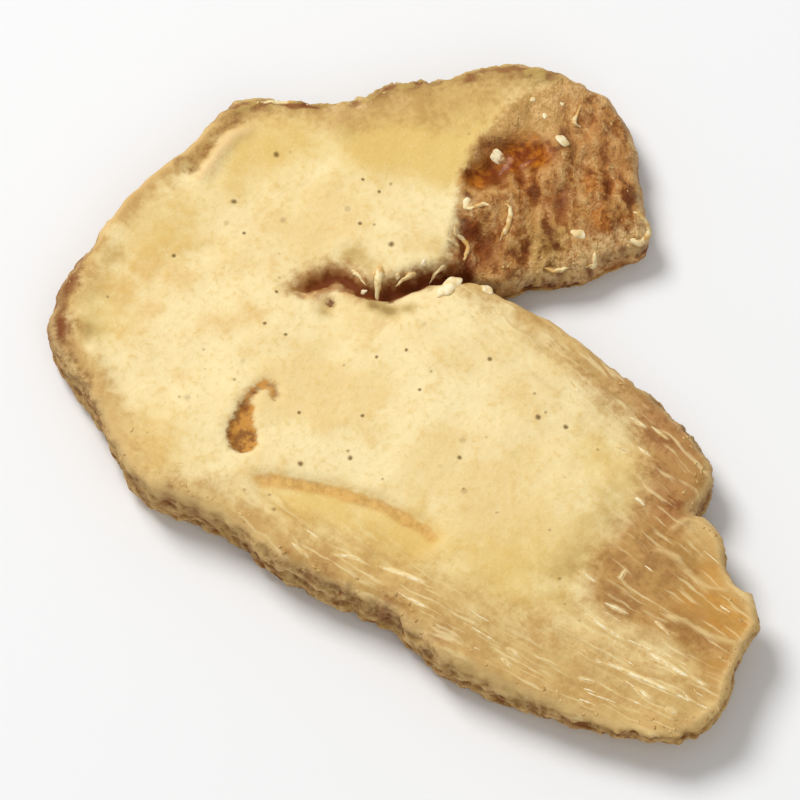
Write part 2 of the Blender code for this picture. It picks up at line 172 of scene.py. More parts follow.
# Where the slice is tinted, by the name of the tint: x, y, radius, strength.
SPOTS = {
    "amber": [
        (-11.7, 17.0, 1.4, 1.0),
        (-12.6, 15.4, 1.0, 1.0),
        (-12.7, 13.6, 1.2, 1.0),
        (-10.4, 17.6, 0.8, 0.7),
        (-13.0, 12.3, 0.7, 0.8),
        (-7.2, 15.5, 0.9, 0.7),
    ],
    "honey": [
        (24.6, -0.8, 1.5, 1.0),
        (20.4, 2.1, 1.5, 0.5),
        (22.6, 1.0, 1.2, 0.7),
        (27.3, -1.1, 1.3, 1.0),
        (26.0, -2.2, 1.2, 0.6),
        (28.8, -4.6, 1.4, 0.6),
        (22.8, -2.6, 1.3, 0.5),
    ],
    "orange": [
        (-24.3, -9.2, 2.6, 0.5),
        (-17.2, -8.0, 1.7, 0.6),
        (-18.6, -10.4, 1.6, 0.6),
        (-17.2, -15.1, 1.8, 0.4),
        (-22.0, -13.5, 2.6, 0.4),
        (-21.0, -3.0, 3.0, 0.35),
        (-26.0, -13.0, 2.5, 0.4),
        (-14.0, -20.5, 2.5, 0.4),
        (-13.2, 22.0, 1.2, 1.0),
        (-5.6, 19.0, 2.0, 0.7),
        (-4.2, 16.6, 1.2, 0.6),
        (-10.4, 14.6, 1.4, 0.5),
        (-9.6, 8.6, 1.4, 0.6),
    ],
    "yellow": [
        (-18.7, 10.6, 3.4, 0.9),
        (-16.0, 13.4, 2.6, 1.0),
        (-21.4, 8.6, 3.0, 0.6),
        (-18.0, 16.5, 3.2, 1.0),
        (-14.8, 11.0, 1.8, 0.5),
        (-2.0, -16.5, 3.2, 0.7),
        (5.0, -14.0, 4.0, 0.7),
        (12.0, -11.0, 4.0, 0.7),
        (-26.1, -8.0, 3.4, 0.6),
        (-27.0, 0.0, 3.5, 0.5),
        (-26.0, 5.0, 3.5, 0.7),
        (-25.0, -15.5, 3.0, 0.7),
        (14.5, -5.5, 4.5, 0.5),
        (10.5, 2.5, 4.0, 0.5),
        (-14.0, -21.0, 3.5, 0.6),
    ],
    "brown": [
        (18.2, -3.6, 2.8, 1.0),
        (21.6, -4.6, 2.6, 1.0),
        (20.6, -1.4, 2.6, 1.0),
        (16.8, -0.6, 2.0, 0.7),
        (18.0, 1.2, 1.8, 0.8),
        (24.8, -3.2, 2.2, 0.8),
        (27.6, -4.0, 2.2, 0.6),
        (18.4, -6.6, 2.0, 0.5),
        (-12.6, 20.6, 1.3, 0.4),
    ],
    "mauve": [
        (13.2, 7.2, 2.8, 0.8),
        (15.6, 5.0, 2.6, 0.8),
        (16.8, 2.4, 2.0, 1.0),
        (9.4, 8.0, 2.8, 0.7),
        (5.0, 7.6, 2.2, 0.5),
        (0.6, 7.2, 1.8, 0.35),
        (-30.0, 4.0, 1.8, 0.5),
        (-0.8, -20.6, 1.5, 0.7),
        (2.8, -19.8, 1.5, 0.7),
        (8.0, -18.3, 1.6, 0.7),
        (12.0, -18.0, 1.5, 0.6),
        (-8.6, 21.0, 2.2, 0.9),
        (-10.4, 23.2, 1.6, 0.9),
        (-5.6, 21.4, 1.8, 0.6),
        (-9.0, 16.6, 1.2, 0.9),
        (-7.0, 8.8, 1.4, 0.7),
        (-8.6, 11.0, 1.0, 0.5),
        (-7.0, 14.6, 1.2, 0.4),
    ],
    # Olive tint; the spots round the crevice are painted shade in its dips and beside it.
    "olive": [
        (-5.2, 12.6, 1.5, 0.8),
        (-4.4, 10.4, 1.3, 0.6),
        (-10.9, -0.9, 0.7, 1.0),
        (-9.6, -0.3, 0.8, 1.0),
        (-8.6, 0.7, 0.7, 0.8),
        (-13.2, -3.7, 0.8, 0.8),
        (-24.6, -17.5, 1.4, 0.8),
        (-22.1, -19.0, 1.2, 0.6),
        (-14.9, 1.1, 1.2, 0.6),
        (-13.0, 1.3, 1.2, 0.4),
        (-27.0, -15.5, 2.0, 0.7),
        (-29.0, -11.5, 1.8, 0.6),
        (15.0, -5.6, 2.0, 0.6),
        (14.2, -2.2, 2.0, 0.5),
        (13.6, 1.4, 2.4, 0.5),
        (9.0, 4.8, 2.6, 0.4),
        (14.6, -8.4, 2.4, 0.4),
        (9.0, -15.6, 3.0, 0.4),
        (-11.0, 6.4, 1.4, 0.3),
        (-22.6, 8.6, 1.6, 0.4),
    ],
    "tan": [
        (-14.6, 20.4, 2.4, 1.0),
        (-12.6, 19.4, 1.4, 0.8),
        (-15.4, 17.0, 1.6, 0.9),
        (-13.6, 23.8, 1.8, 0.8),
        (-16.0, 23.0, 1.8, 0.7),
        (-14.6, 13.8, 0.9, 0.6),
        (-11.7, 10.5, 0.9, 0.7),
        (-4.6, 15.6, 1.0, 0.4),
    ],
    "rust": [
        (-26.8, -18.4, 1.3, 1.0),
        (-28.9, -15.2, 1.0, 0.9),
        (-30.3, -2.0, 0.8, 0.5),
        (-8.6, -22.2, 0.9, 0.7),
        (-11.0, -22.8, 0.7, 0.6),
        (7.3, -18.3, 0.6, 0.9),
        (1.4, -20.3, 0.5, 0.6),
        (-9.9, 9.3, 1.2, 0.7),
        (-8.6, 7.2, 1.2, 0.8),
        (-10.0, 12.9, 0.8, 0.5),
        (-10.8, 15.2, 0.8, 0.6),
        (16.9, 2.6, 1.0, 0.5),
        (-26.4, 9.4, 0.8, 0.5),
        (-22.6, 15.6, 0.7, 0.4),
    ],
    # Mostly painted shade, in the knob's pits and hollows, in cracks and beside the crevice; those on the scar are
    # its dark edge.
    "dark": [
        (-13.6, 12.3, 0.5, 0.7),
        (-13.3, 14.4, 0.5, 0.6),
        (-9.9, 9.5, 0.8, 0.45),
        (-8.2, 6.6, 0.9, 0.8),
        (-8.2, 9.0, 1.0, 0.65),
        (-12.0, 13.7, 0.8, 0.7),
        (-7.0, 15.4, 0.8, 0.75),
        (-7.5, 16.6, 0.5, 0.6),
        (-3.4, 11.8, 0.4, 0.7),
        (-2.1, 13.6, 0.35, 0.8),
        (-2.0, 15.0, 0.35, 0.7),
        (-1.4, 16.5, 0.35, 0.8),
        (-13.4, -2.8, 0.35, 1.0),
        (-11.7, -13.7, 0.3, 0.8),
        (-12.1, -12.4, 0.25, 0.7),
        (-10.6, -11.9, 0.22, 0.5),
        (-26.9, 8.2, 0.4, 0.6),
    ],
    "weathered": [
        (-31.0, 0.0, 4.0, 0.8),
        (-30.5, -6.5, 4.0, 1.0),
        (-29.8, -13.0, 3.5, 0.9),
        (-27.4, -18.6, 3.0, 0.6),
        (-27.5, 8.5, 2.5, 0.7),
        (-22.0, 16.5, 3.0, 0.5),
        (-6.5, -21.5, 3.0, 0.4),
        (17.5, 5.0, 2.5, 0.9),
        (29.5, -3.0, 2.0, 0.4),
    ],
    "pale": [
        (-1.2, 18.9, 0.9, 0.9),
        (-1.9, 16.9, 0.9, 0.6),
        (-2.4, 15.2, 1.0, 0.6),
        (-2.6, 13.3, 1.1, 0.7),
        (-3.8, 11.4, 0.9, 0.6),
        (-4.8, 9.6, 0.9, 0.6),
        (-11.5, 10.3, 0.6, 0.6),
        (-9.2, -1.5, 0.8, 0.5),
        (-10.9, 8.2, 0.5, 0.5),
        (-24.6, 9.4, 1.0, 0.5),
        (-23.4, 11.0, 0.8, 0.4),
    ],
}

# The larger of the dark ends of sap strands in the flesh: x, y, radius.
VASCULAR_DOTS = [
    (-25.1, 3.4, 0.3),
    (-24.6, -1.7, 0.28),
    (-13.3, 3.7, 0.32),
    (-24.7, -8.1, 0.22),
    (-5.3, -14.3, 0.28),
    (-3.0, -11.4, 0.26),
    (2.9, -5.7, 0.22),
    (-8.4, -11.3, 0.2),
    (-4.8, -8.2, 0.2),
    (-3.2, -3.7, 0.18),
    (-4.1, -18.4, 0.22),
    (-18.8, 6.3, 0.16),
    (-17.2, 6.4, 0.18),
    (-16.3, 3.4, 0.22),
    (-22.2, -3.1, 0.18),
    (-1.1, 1.7, 0.24),
    (-7.5, -3.9, 0.18),
    (-6.2, -2.0, 0.18),
    (-16.9, -5.0, 0.16),
    (-15.6, -7.6, 0.2),
    (-13.8, -7.2, 0.18),
    (4.8, 0.8, 0.28),
    (6.8, 1.7, 0.24),
]


def smooth_loop(points, steps):
    """A closed Catmull-Rom curve through the points, as an array of (x, y)."""
    corners = np.array(points, float)
    before, after, beyond = (np.roll(corners, turn, axis=0) for turn in (1, -1, -2))
    t = (np.arange(steps) / steps)[None, :, None]
    p0, p1, p2, p3 = (a[:, None, :] for a in (before, corners, after, beyond))
    curve = 0.5 * (
        2 * p1
        + (p2 - p0) * t
        + (2 * p0 - 5 * p1 + 4 * p2 - p3) * t**2
        + (3 * p1 - p0 - 3 * p2 + p3) * t**3
    )
    return curve.reshape(-1, 2)


def ragged(loop):
    """The loop with small wanderings along its own outward direction."""
    along = np.roll(loop, -1, axis=0) - np.roll(loop, 1, axis=0)
    outward = np.stack([along[:, 1], -along[:, 0]], axis=1)
    outward /= np.linalg.norm(outward, axis=1)[:, None]
    x, y = loop.T
    wander = RAGGED * noise_at(x, y, 0, RAGGED_SIZE, 4.0)
    wander += CRUMBLED * crumbling(x, y) * (noise_at(x, y, 0, CRUMBLED_SIZE, 6.0) - 0.3)
    return loop + wander[:, None] * outward


def smoothstep(low, high, value):
    t = np.clip((value - low) / (high - low), 0, 1)
    return t * t * (3 - 2 * t)


def mound(x, y, centre, radius):
    """A round swelling of height 1 that fades out a little past its radius."""
    return np.exp(-((x - centre[0]) ** 2 + (y - centre[1]) ** 2) / radius**2)


def groove(distance, half_width):
    return np.exp(-((distance / half_width) ** 2))


def follow(x, y, path, closed=False):
    """Distance to a path, how far along it the nearest point lies (0 to 1), and the side (+1 on its left)."""
    corners = np.array(path, float)
    starts = corners if closed else corners[:-1]
    ends = np.roll(corners, -1, axis=0) if closed else corners[1:]
    best = np.full(x.shape, np.inf)
    along = np.zeros(x.shape)
    side = np.zeros(x.shape)
    for number, ((ax, ay), (bx, by)) in enumerate(zip(starts, ends)):
        dx, dy = bx - ax, by - ay
        t = np.clip(((x - ax) * dx + (y - ay) * dy) / (dx * dx + dy * dy), 0, 1)
        off_x, off_y = x - ax - t * dx, y - ay - t * dy
        distance = np.hypot(off_x, off_y)
        nearer = distance < best
        best = np.where(nearer, distance, best)
        along = np.where(nearer, (number + t) / len(starts), along)
        side = np.where(nearer, np.sign(dx * off_y - dy * off_x), side)
    return best, along, side


def noise_at(x, y, z, size, seed, octaves=3):
    """Smooth noise of about -1 to 1, with lumps of that size."""
    levels = np.broadcast_to(z, x.shape)
    return np.array(
        [
            noise.fractal(Vector((a / size + seed, b / size, c / size)), 1.0, 2.0, octaves)
            for a, b, c in zip(x, y, levels)
        ]
    )


def folds_at(x, y, z, size, seed, octaves=1):
    """Sharp-crested folds of about 0 to 1, as in dried skin."""
    return 1 - 2.4 * np.abs(noise_at(x, y, z, size, seed, octaves))


def across_fibres(x, y):
    """Distance across the fibres: they follow the bowed lower edge and straighten towards the upper one."""
    bow = 0.0078 * (x + 6) ** 2 * np.where(x > -6, 1, 0.2)
    return y - bow * np.clip((5 - y) / 22, 0, 1)


def across_knob(x, y):
    """Distances across the knob's folds and along them."""
    return 0.72 * x + 0.69 * y, 0.72 * y - 0.69 * x


def past_rind_border(x, y):
    """How far a point lies on the knob's side of the rind's border, and below 0 on the flesh."""
    border_x, border_y = zip(*reversed(RIND_BORDER))
    past_border = x - np.interp(y, border_y, border_x)
    above_notch = y - NOTCH[1] - (x - NOTCH[0]) * NOTCH_SLOPE
    return np.where(above_notch > 0, past_border, np.minimum(past_border, 3 * above_notch))


def share_of_knob(x, y, to_edge):
    """0 on the flesh, and on the knob's rind 0 to 1 from the flesh's border to the outer edge."""
    past_border = past_rind_border(x, y)
    return np.where(past_border > 0, past_border / (past_border + to_edge + 0.01), 0)


def shoulder_width(x, y):
    """How broad the slope from cut face to wall is: crisp along most of the rim, broad where rind shows."""
    at_heel = 2.6 * mound(x, y, (-27.0, -18.0), 6.5)
    at_butt_corner = 1.5 * mound(x, y, (-28.0, 8.0), 6.0)
    at_top = 1.3 * mound(x, y, (-22.0, 17.0), 6.0)
    at_lower_edge = 0.9 * mound(x, y, (4.0, -20.0), 11.0)
    at_upper_edge = 1.0 * mound(x, y, (12.0, 8.0), 9.0)
    return 0.6 + at_heel + at_butt_corner + at_top + at_lower_edge + at_upper_edge


def at_feet(x, y):
    return sum(mound(x, y, foot, FOOT_RADIUS) for foot in FEET)


def underside_height(x, y, to_edge):
    """The underside stands clear of the floor but for the flat spots of the three feet."""
    feet = at_feet(x, y)
    lift = LIFT + 0.45 * noise_at(x, y, 0, 11.0, 3.0) * np.clip(1 - feet, 0, 1)
    lift += FRAYED_LIFT * smoothstep(15, 31, x) + 0.4 * smoothstep(-24, -31, x)
    lift += 0.35 * (1 - smoothstep(0.0, 1.4, to_edge))
    return np.maximum(lift - FOOT_DEPTH * feet, 0)


def face_height(x, y):
    """The cut face: gently uneven, and thinning towards the frayed end and the upper edge."""
    thinning = (FACE_HEIGHT - FRAYED_HEIGHT) * smoothstep(6, 28, x)
    thinning += 0.8 * smoothstep(1, 9, y) * smoothstep(0, 12, x)
    dish = 0.4 * mound(x, y, (-21.0, -7.0), 9.0)
    swelling = 0.5 * mound(x, y, (-5.0, 1.0), 6.0)
    return FACE_HEIGHT - thinning - dish + swelling + 0.3 * noise_at(x, y, 0, 10.0, 7.0)


def knob_height(x, y, share, face):
    """The knob's rind bends down from the face to a low outer edge, in folds that run across the lobe."""
    step = RIND_STEP * (1 - smoothstep(12, 17, y))
    slope = KNOB_EDGE_HEIGHT + (face - step - KNOB_EDGE_HEIGHT) * np.sqrt(1 - share**2)
    across, along = across_knob(x, y)
    folded = 1 - 0.75 * spots_at("tan", x, y)
    folds = FOLD_HEIGHT * (folds_at(across, along / 2.2, 0, FOLD_WIDTH, 11.0, 2) - 0.5) * folded
    fine = folds_at(across + 0.5 * noise_at(x, y, 0, 2.0, 17.0), along / 3, 0, FINE_FOLD_WIDTH, 19.0)
    folds += FINE_FOLD_HEIGHT * (fine - 0.4) * folded
    lumps = 0.5 * noise_at(x, y, 0, 5.0, 13.0)
    lumps += sum(height * mound(x, y, (a, b), radius) for a, b, radius, height in KNOB_LUMPS)
    return slope + (folds + lumps) * (1 - share**4) - HOLLOW_DEPTH * mound(x, y, HOLLOW, 1.7)


def crevice_at(x, y):
    """The crevice's depth, the painted shade in it, the painted shade round it, and the torn flesh on its near side
    (0 to 1).
    """
    torn_x = x + 0.3 * noise_at(x, y, 0, 0.8, 71.0, 3)
    torn_y = y + 0.3 * noise_at(x, y, 0, 0.8, 75.0, 3)
    distance, along, side = follow(torn_x, torn_y, CREVICE)
    half_width = np.interp(along, (0, 1), CREVICE_HALF_WIDTHS)
    shallow, deep = CREVICE_DEPTHS
    depth = (shallow + (deep - shallow) * smoothstep(0.3, 0.95, along)) * groove(distance, half_width)
    depth += sum(dip * mound(x, y, (a, b), radius) for a, b, radius, dip in CREVICE_DIPS)
    # Painted shade round the crevice: broad on the left side of its path, narrow on the right.
    crevice_halo_shade = np.where(side > 0, groove(distance, 1.5 - 0.7 * along), groove(distance, 1.3 * half_width))
    torn = (side < 0) * groove(distance - 0.75, 0.6) * (1 - smoothstep(0.3, 0.5, along))
    return depth, groove(distance, half_width), crevice_halo_shade, torn


def scar_at(x, y):
    """The old scar's depth, the fill of its body, its dark edge, and the paler hook above it (0 to 1)."""
    wander = 0.3 * noise_at(x, y, 0, 0.9, 91.0, 4)
    to_body, along, side = follow(x, y, SCAR_BODY)
    inside = np.interp(along, (0, 1), SCAR_HALF_WIDTHS) - to_body - wander
    body = smoothstep(-0.2, 0.3, inside)
    edge = groove(inside - 0.1, 0.22) * (side < 0)
    hook = groove(follow(x, y, SCAR_HOOK)[0] + 0.6 * wander, 0.42)
    return SCAR_DEPTHS[0] * hook + SCAR_DEPTHS[1] * body, body, edge, hook


def pale_streaks(x, y):
    """The raised pale fibres and the flesh that clings to them (0 to 1)."""
    strongest = np.zeros(x.shape)
    for path, half_width in PALE_FIBRES:
        distance, along, _ = follow(x, y, path)
        taper = np.sqrt(4 * along * (1 - along))
        strongest = np.maximum(strongest, taper * groove(distance, half_width + 0.14))
    return strongest


def butt_fold_at(x, y):
    """The raised fold beside the butt end, and the furrow on its outer side (0 to 1)."""
    distance, along, side = follow(x, y, BUTT_FOLD)
    fading = smoothstep(0, 0.25, along) * (1 - smoothstep(0.75, 1, along))
    distance = distance + 0.25 * noise_at(x, y, 0, 1.3, 61.0)
    outer = groove(distance - 2 * BUTT_FOLD_HALF_WIDTH, BUTT_FOLD_HALF_WIDTH) * (side > 0)
    return fading * groove(distance, BUTT_FOLD_HALF_WIDTH), fading * outer


def glassy_lips(x, y):
    """The thin lips on the frayed end (0 to 1)."""
    nearest = np.full(x.shape, np.inf)
    for path in GLASSY_LIPS:
        nearest = np.minimum(nearest, follow(x, y, path)[0])
    return groove(nearest + 0.12 * noise_at(x, y, 0, 0.9, 65.0), GLASSY_LIP_HALF_WIDTH)


def step_depth(x, y):
    distance, along, side = follow(x, y, STEP_LINE)
    inside = smoothstep(0, 0.12, along) * (1 - smoothstep(0.9, 1, along))
    return STEP_DROP * inside * np.where(side < 0, np.exp(-distance / STEP_FADE), groove(distance, 0.35))


def fibre_ridges(x, y, to_edge):
    """Ridges of fibre along the long lobe's margins and all over its frayed end."""
    on_lobe = smoothstep(-10, -2, x)
    in_margin = 1 - smoothstep(2.0, 7.5, to_edge)
    on_frayed_end = smoothstep(13, 22, x)
    return on_lobe * np.maximum(in_margin, on_frayed_end)


def upper_height(x, y, to_edge, underside, fibrous):
    """The upper side: cut face and knob, with their marks, rounded off towards the wall."""
    face = face_height(x, y)
    share = share_of_knob(x, y, to_edge)
    top = face + (knob_height(x, y, share, face) - face) * smoothstep(0.0, 0.1, share)
    top += RIDGE_HEIGHT * fibrous * folds_at(x / 7, across_fibres(x, y), 0, RIDGE_SPACING, 20.0)
    top -= crevice_at(x, y)[0] + step_depth(x, y) + scar_at(x, y)[0]
    fold, furrow = butt_fold_at(x, y)
    top += BUTT_FOLD_HEIGHT * (fold - furrow)
    width = shoulder_width(x, y)
    wall_share = 0.82 - 0.42 * np.clip((width - 0.6) / 2.6, 0, 1)
    inward = np.clip(to_edge / width, 0, 1)
    rounding = wall_share + (1 - wall_share) * np.sqrt(1 - (1 - inward) ** 2)
    return underside + np.maximum((top - underside) * rounding, THINNEST)


def body_of_slice(points, loop):
    """The plate's points, an array of (x, y, z), moved to the slice's broad form."""
    x, y = points[:, 0], points[:, 1]
    level = np.clip(points[:, 2] / SLAB + 0.5, 0, 1)
    to_edge = follow(x, y, loop, closed=True)[0]
    underside = underside_height(x, y, to_edge)
    upper = upper_height(x, y, to_edge, underside, fibre_ridges(x, y, to_edge))
    at_frayed_rim = smoothstep(14, 24, x) * (1 - smoothstep(0, 6, to_edge)) * (underside > 0.3)
    waves = 0.45 * noise_at(x, y, 0, 4.0, 31.0, 1) * at_frayed_rim
    shaped = points.copy()
    shaped[:, 2] = np.maximum(underside + level * (upper - underside) + waves, 0)

    on_wall = (1 - smoothstep(0.1, 1.3, to_edge)) * (1 - np.abs(2 * level - 1) ** 4)
    wrinkle = WRINKLE_DEPTH * noise_at(x, y, shaped[:, 2], WRINKLE_SIZE, 41.0)
    outward = points[:, :2] - loop.mean(axis=0)
    outward /= np.linalg.norm(outward, axis=1)[:, None]
    shaped[:, :2] += (on_wall * wrinkle)[:, None] * outward
    return shaped


def spots_at(name, x, y):
    """How strongly a tint shows at each point, from its list of spots."""
    spots = [strength * mound(x, y, (a, b), radius) for a, b, radius, strength in SPOTS[name]]
    return np.clip(sum(spots), 0, 1)


def margin_width(x, y):
    """How far in from the edge the cut face turns tan."""
    at_heel = 1.2 * mound(x, y, (-27.0, -17.0), 7.0) + 1.0 * mound(x, y, (-14.0, -23.0), 8.0)
    at_top = 7.0 * mound(x, y, (-21.0, 16.5), 6.5) + 1.6 * mound(x, y, (-28.0, 7.0), 7.0)
    at_upper_edge = 4.5 * mound(x, y, (14.0, 7.5), 7.0) + 1.5 * mound(x, y, (3.0, 8.0), 7.0)
    at_lower_edge = 4.0 * mound(x, y, (2.0, -20.5), 8.0) + 6.5 * mound(x, y, (15.0, -18.0), 9.0)
    at_frayed_end = 7.0 * mound(x, y, (24.0, -11.0), 9.0) + 4.0 * mound(x, y, (29.0, -3.0), 6.0)
    return 1.7 + at_heel + at_top + at_upper_edge + at_lower_edge + at_frayed_end


def crumbling(x, y):
    """Where the rim crumbles: along the lower edge, the frayed end and the knob's outer edge (0 to 1)."""
    stretches = [
        mound(x, y, (6.0, -19.5), 13.0),
        mound(x, y, (22.0, -16.0), 8.0),
        mound(x, y, (29.0, -8.0), 7.0),
        mound(x, y, (-2.5, 14.5), 5.0),
        0.8 * mound(x, y, (14.0, 7.0), 7.0),
        0.7 * mound(x, y, (-10.0, -23.0), 6.0),
        0.5 * mound(x, y, (-22.0, 14.0), 7.0),
    ]
    return np.clip(sum(stretches), 0.1, 1)


def zones_of(points, level, to_edge):
    """The painted zones, as a dictionary of arrays from 0 to 1, one value a point."""
    x, y = points[:, 0], points[:, 1]
    above = smoothstep(0.3, 0.7, level)
    wander = noise_at(x, y, points[:, 2], 1.1, 81.0)
    drift = noise_at(x, y, 0, 3.5, 85.0)
    zones = {name: spots_at(name, x, y) * above for name in SPOTS}

    distance, along, side = follow(x, y, STEP_LINE)
    inside = smoothstep(0.0, 0.12, along) * (1 - smoothstep(0.86, 1.0, along))
    below_step = inside * (side < 0)
    reach = distance + 0.14 * wander
    ledge = np.where(side < 0, 1 - smoothstep(0.4, 1.5 - 0.3 * along, reach), groove(reach, 0.2))
    _, dark, crevice_halo_shade, torn = crevice_at(x, y)
    _, scar, scar_edge, hook = scar_at(x, y)
    fold, furrow = butt_fold_at(x, y)
    zones["bruised"] = above * inside * ledge
    zones["streak"] = above * pale_streaks(x, y)
    zones["yellow"] = np.clip(zones["yellow"] + 0.6 * above * below_step * np.exp(-distance / 2), 0, 1)
    zones["scar"] = above * np.maximum(scar, 0.85 * hook)
    # The scar's dark edge, and painted shade in the butt fold's furrow, which is darkened and turned olive.
    zones["dark"] = np.maximum(zones["dark"], above * np.maximum(0.5 * scar_edge, 0.42 * furrow))
    zones["olive"] = np.clip(zones["olive"] + 0.9 * furrow * above, 0, 1)
    zones["pale"] = np.clip(zones["pale"] + 0.9 * fold * above, 0, 1)
    # The crevice painted dark as shade, darkest along its middle.
    zones["crevice"] = dark * above
    zones["crevice_halo_shade"] = crevice_halo_shade * above
    zones["torn"] = torn * above

    shoulder = shoulder_width(x, y)
    narrow = 1 - np.clip((shoulder - 0.6) / 1.4, 0, 1)
    past_skin = (to_edge + 0.3 * wander) / (0.35 + 0.3 * shoulder) + 1.3 * smoothstep(0.5, 1.0, level) * narrow
    into_margin = np.maximum(to_edge + 0.5 * wander + 0.9 * drift, 0) / margin_width(x, y)
    to_top_rim = follow(x, y, TOP_RIM)[0] + 0.45 * wander + 0.5 * drift
    past_flesh = past_rind_border(x, y) + 0.5 * wander + 0.4 * drift
    # A pale line along the top of the rim and on the frayed end's lips: partly pale skin, partly painted highlight.
    rim = groove(to_edge - 0.25 + 0.1 * wander, 0.26) * smoothstep(0.5, 0.8, level)
    zones["knob"] = smoothstep(-0.8, 1.2, past_flesh) * smoothstep(0.1, 0.35, level)
    zones["skin"] = 1 - smoothstep(0.3, 1.5, past_skin)
    zones["margin"] = groove(into_margin, 0.8)
    zones["crust_and_shade"] = (1 - smoothstep(0.4, 2.4, to_top_rim)) * above
    zones["pale_lit_rim"] = np.maximum(rim * (0.75 + 0.5 * drift), glassy_lips(x, y) * above)
    zones["fibrous"] = np.clip(fibre_ridges(x, y, to_edge), 0, 1) * above
    return zones


def relief_of(points, zones):
    """The fine relief along the surface's own direction, and how high it stands in its place (-1 to 1)."""
    x, y, z = points.T
    rough_skin = np.maximum(zones["skin"], zones["knob"])
    across, along = across_knob(x, y)
    drawn = folds_at(across + 0.5 * noise_at(x, y, z, 2.0, 105.0), along / 2.6, z, 1.5, 103.0, 2) - 0.45
    wrinkles = folds_at(x, y, z * 2.2, 1.9, 101.0, 3) - 0.45
    wrinkles += zones["knob"] * (drawn - wrinkles)
    crumbs = noise_at(x, y, z, 0.75, 111.0, 3)
    strands = noise_at(x / 9, across_fibres(x, y), z, 1.0, 121.0, 2)
    pores = noise_at(x, y, z, 2.2, 131.0, 4)
    frayed = zones["fibrous"] * (1 - zones["knob"])
    broken = np.maximum(zones["crust_and_shade"], zones["torn"])
    flesh = (1 - rough_skin) * (1 - frayed) * (1 - broken)
    crumby = 0.07 + 0.1 * crumbling(x, y)
    relief = rough_skin * (1 - 0.35 * zones["knob"]) * (0.12 * wrinkles + crumby * crumbs)
    relief += frayed * (0.09 * strands + (0.02 + 0.1 * zones["skin"]) * crumbs)
    relief += flesh * (0.05 * pores + 0.01 * crumbs)
    relief += broken * (0.1 * wrinkles + 0.12 * crumbs)
    relief += GLASSY_LIP_HEIGHT * glassy_lips(x, y) * (zones["fibrous"] > 0.5)
    crest = rough_skin * (0.9 * wrinkles + 0.6 * crumbs) + frayed * 1.1 * strands + flesh * 0.5 * pores
    crest += broken * (0.8 * wrinkles + 0.8 * crumbs)
    return relief, np.clip(crest, -1, 1)


def as_mesh(guide):
    """The object as its modifiers leave it, as a new mesh, with the object itself removed."""
    graph = bpy.context.evaluated_depsgraph_get()
    mesh = bpy.data.meshes.new_from_object(guide.evaluated_get(graph))
    bpy.data.objects.remove(guide)
    return mesh


def object_of(name, mesh):
    obj = bpy.data.objects.new(name, mesh)
    bpy.context.scene.collection.objects.link(obj)
    return obj


def points_of(mesh, what="co"):
    """The mesh's points, or the directions of its surface there, as an array of three columns."""
    rows = np.empty(len(mesh.vertices) * 3)
    mesh.vertices.foreach_get(what, rows)
    return rows.reshape(-1, 3)


def set_points(mesh, points):
    mesh.vertices.foreach_set("co", points.ravel())
    mesh.update()


def paint(mesh, name, values):
    """Keeps one number for each point of the mesh, under that name, for the finish to read."""
    layer = mesh.attributes.new(name, "FLOAT", "POINT")
    layer.data.foreach_set("value", values)


def plate_of(loop):
    """The outline filled, thickened and remeshed to small even faces, in metres."""
    solid = bmesh.new()
    corners = [solid.verts.new((x * MM, y * MM, -SLAB / 2 * MM)) for x, y in loop]
    base = solid.faces.new(corners)
    raised = bmesh.ops.extrude_face_region(solid, geom=[base])["geom"]
    top = [item for item in raised if isinstance(item, bmesh.types.BMVert)]
    bmesh.ops.translate(solid, verts=top, vec=(0, 0, SLAB * MM))
    bmesh.ops.recalc_face_normals(solid, faces=solid.faces)
    mesh = bpy.data.meshes.new("plate")
    solid.to_mesh(mesh)
    solid.free()
    plate = object_of("plate", mesh)
    remesh = plate.modifiers.new("even_faces", "REMESH")
    remesh.mode = "VOXEL"
    remesh.voxel_size = VOXEL * MM
    return as_mesh(plate)


def smoothed(mesh, rounds):
    """Takes the steps of the remeshing out of the surface."""
    solid = bmesh.new()
    solid.from_mesh(mesh)
    for _ in range(rounds):
        bmesh.ops.smooth_vert(solid, verts=solid.verts, factor=0.5, use_axis_x=True, use_axis_y=True, use_axis_z=True)
    solid.to_mesh(mesh)
    solid.free()


def fitted(points):
    """The points slid, and drawn in by a hair where they need it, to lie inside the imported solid's box."""
    low, high = (np.array(corner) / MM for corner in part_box(NODE))
    own_low, own_high = points.min(axis=0), points.max(axis=0)
    scale = np.minimum((high - low) / (own_high - own_low), 1)
    middle = (own_low + own_high) / 2
    placed = (points - middle) * scale + (low + high) / 2
    placed[:, 2] = (points[:, 2] - own_low[2]) * scale[2] + low[2]
    return placed, middle


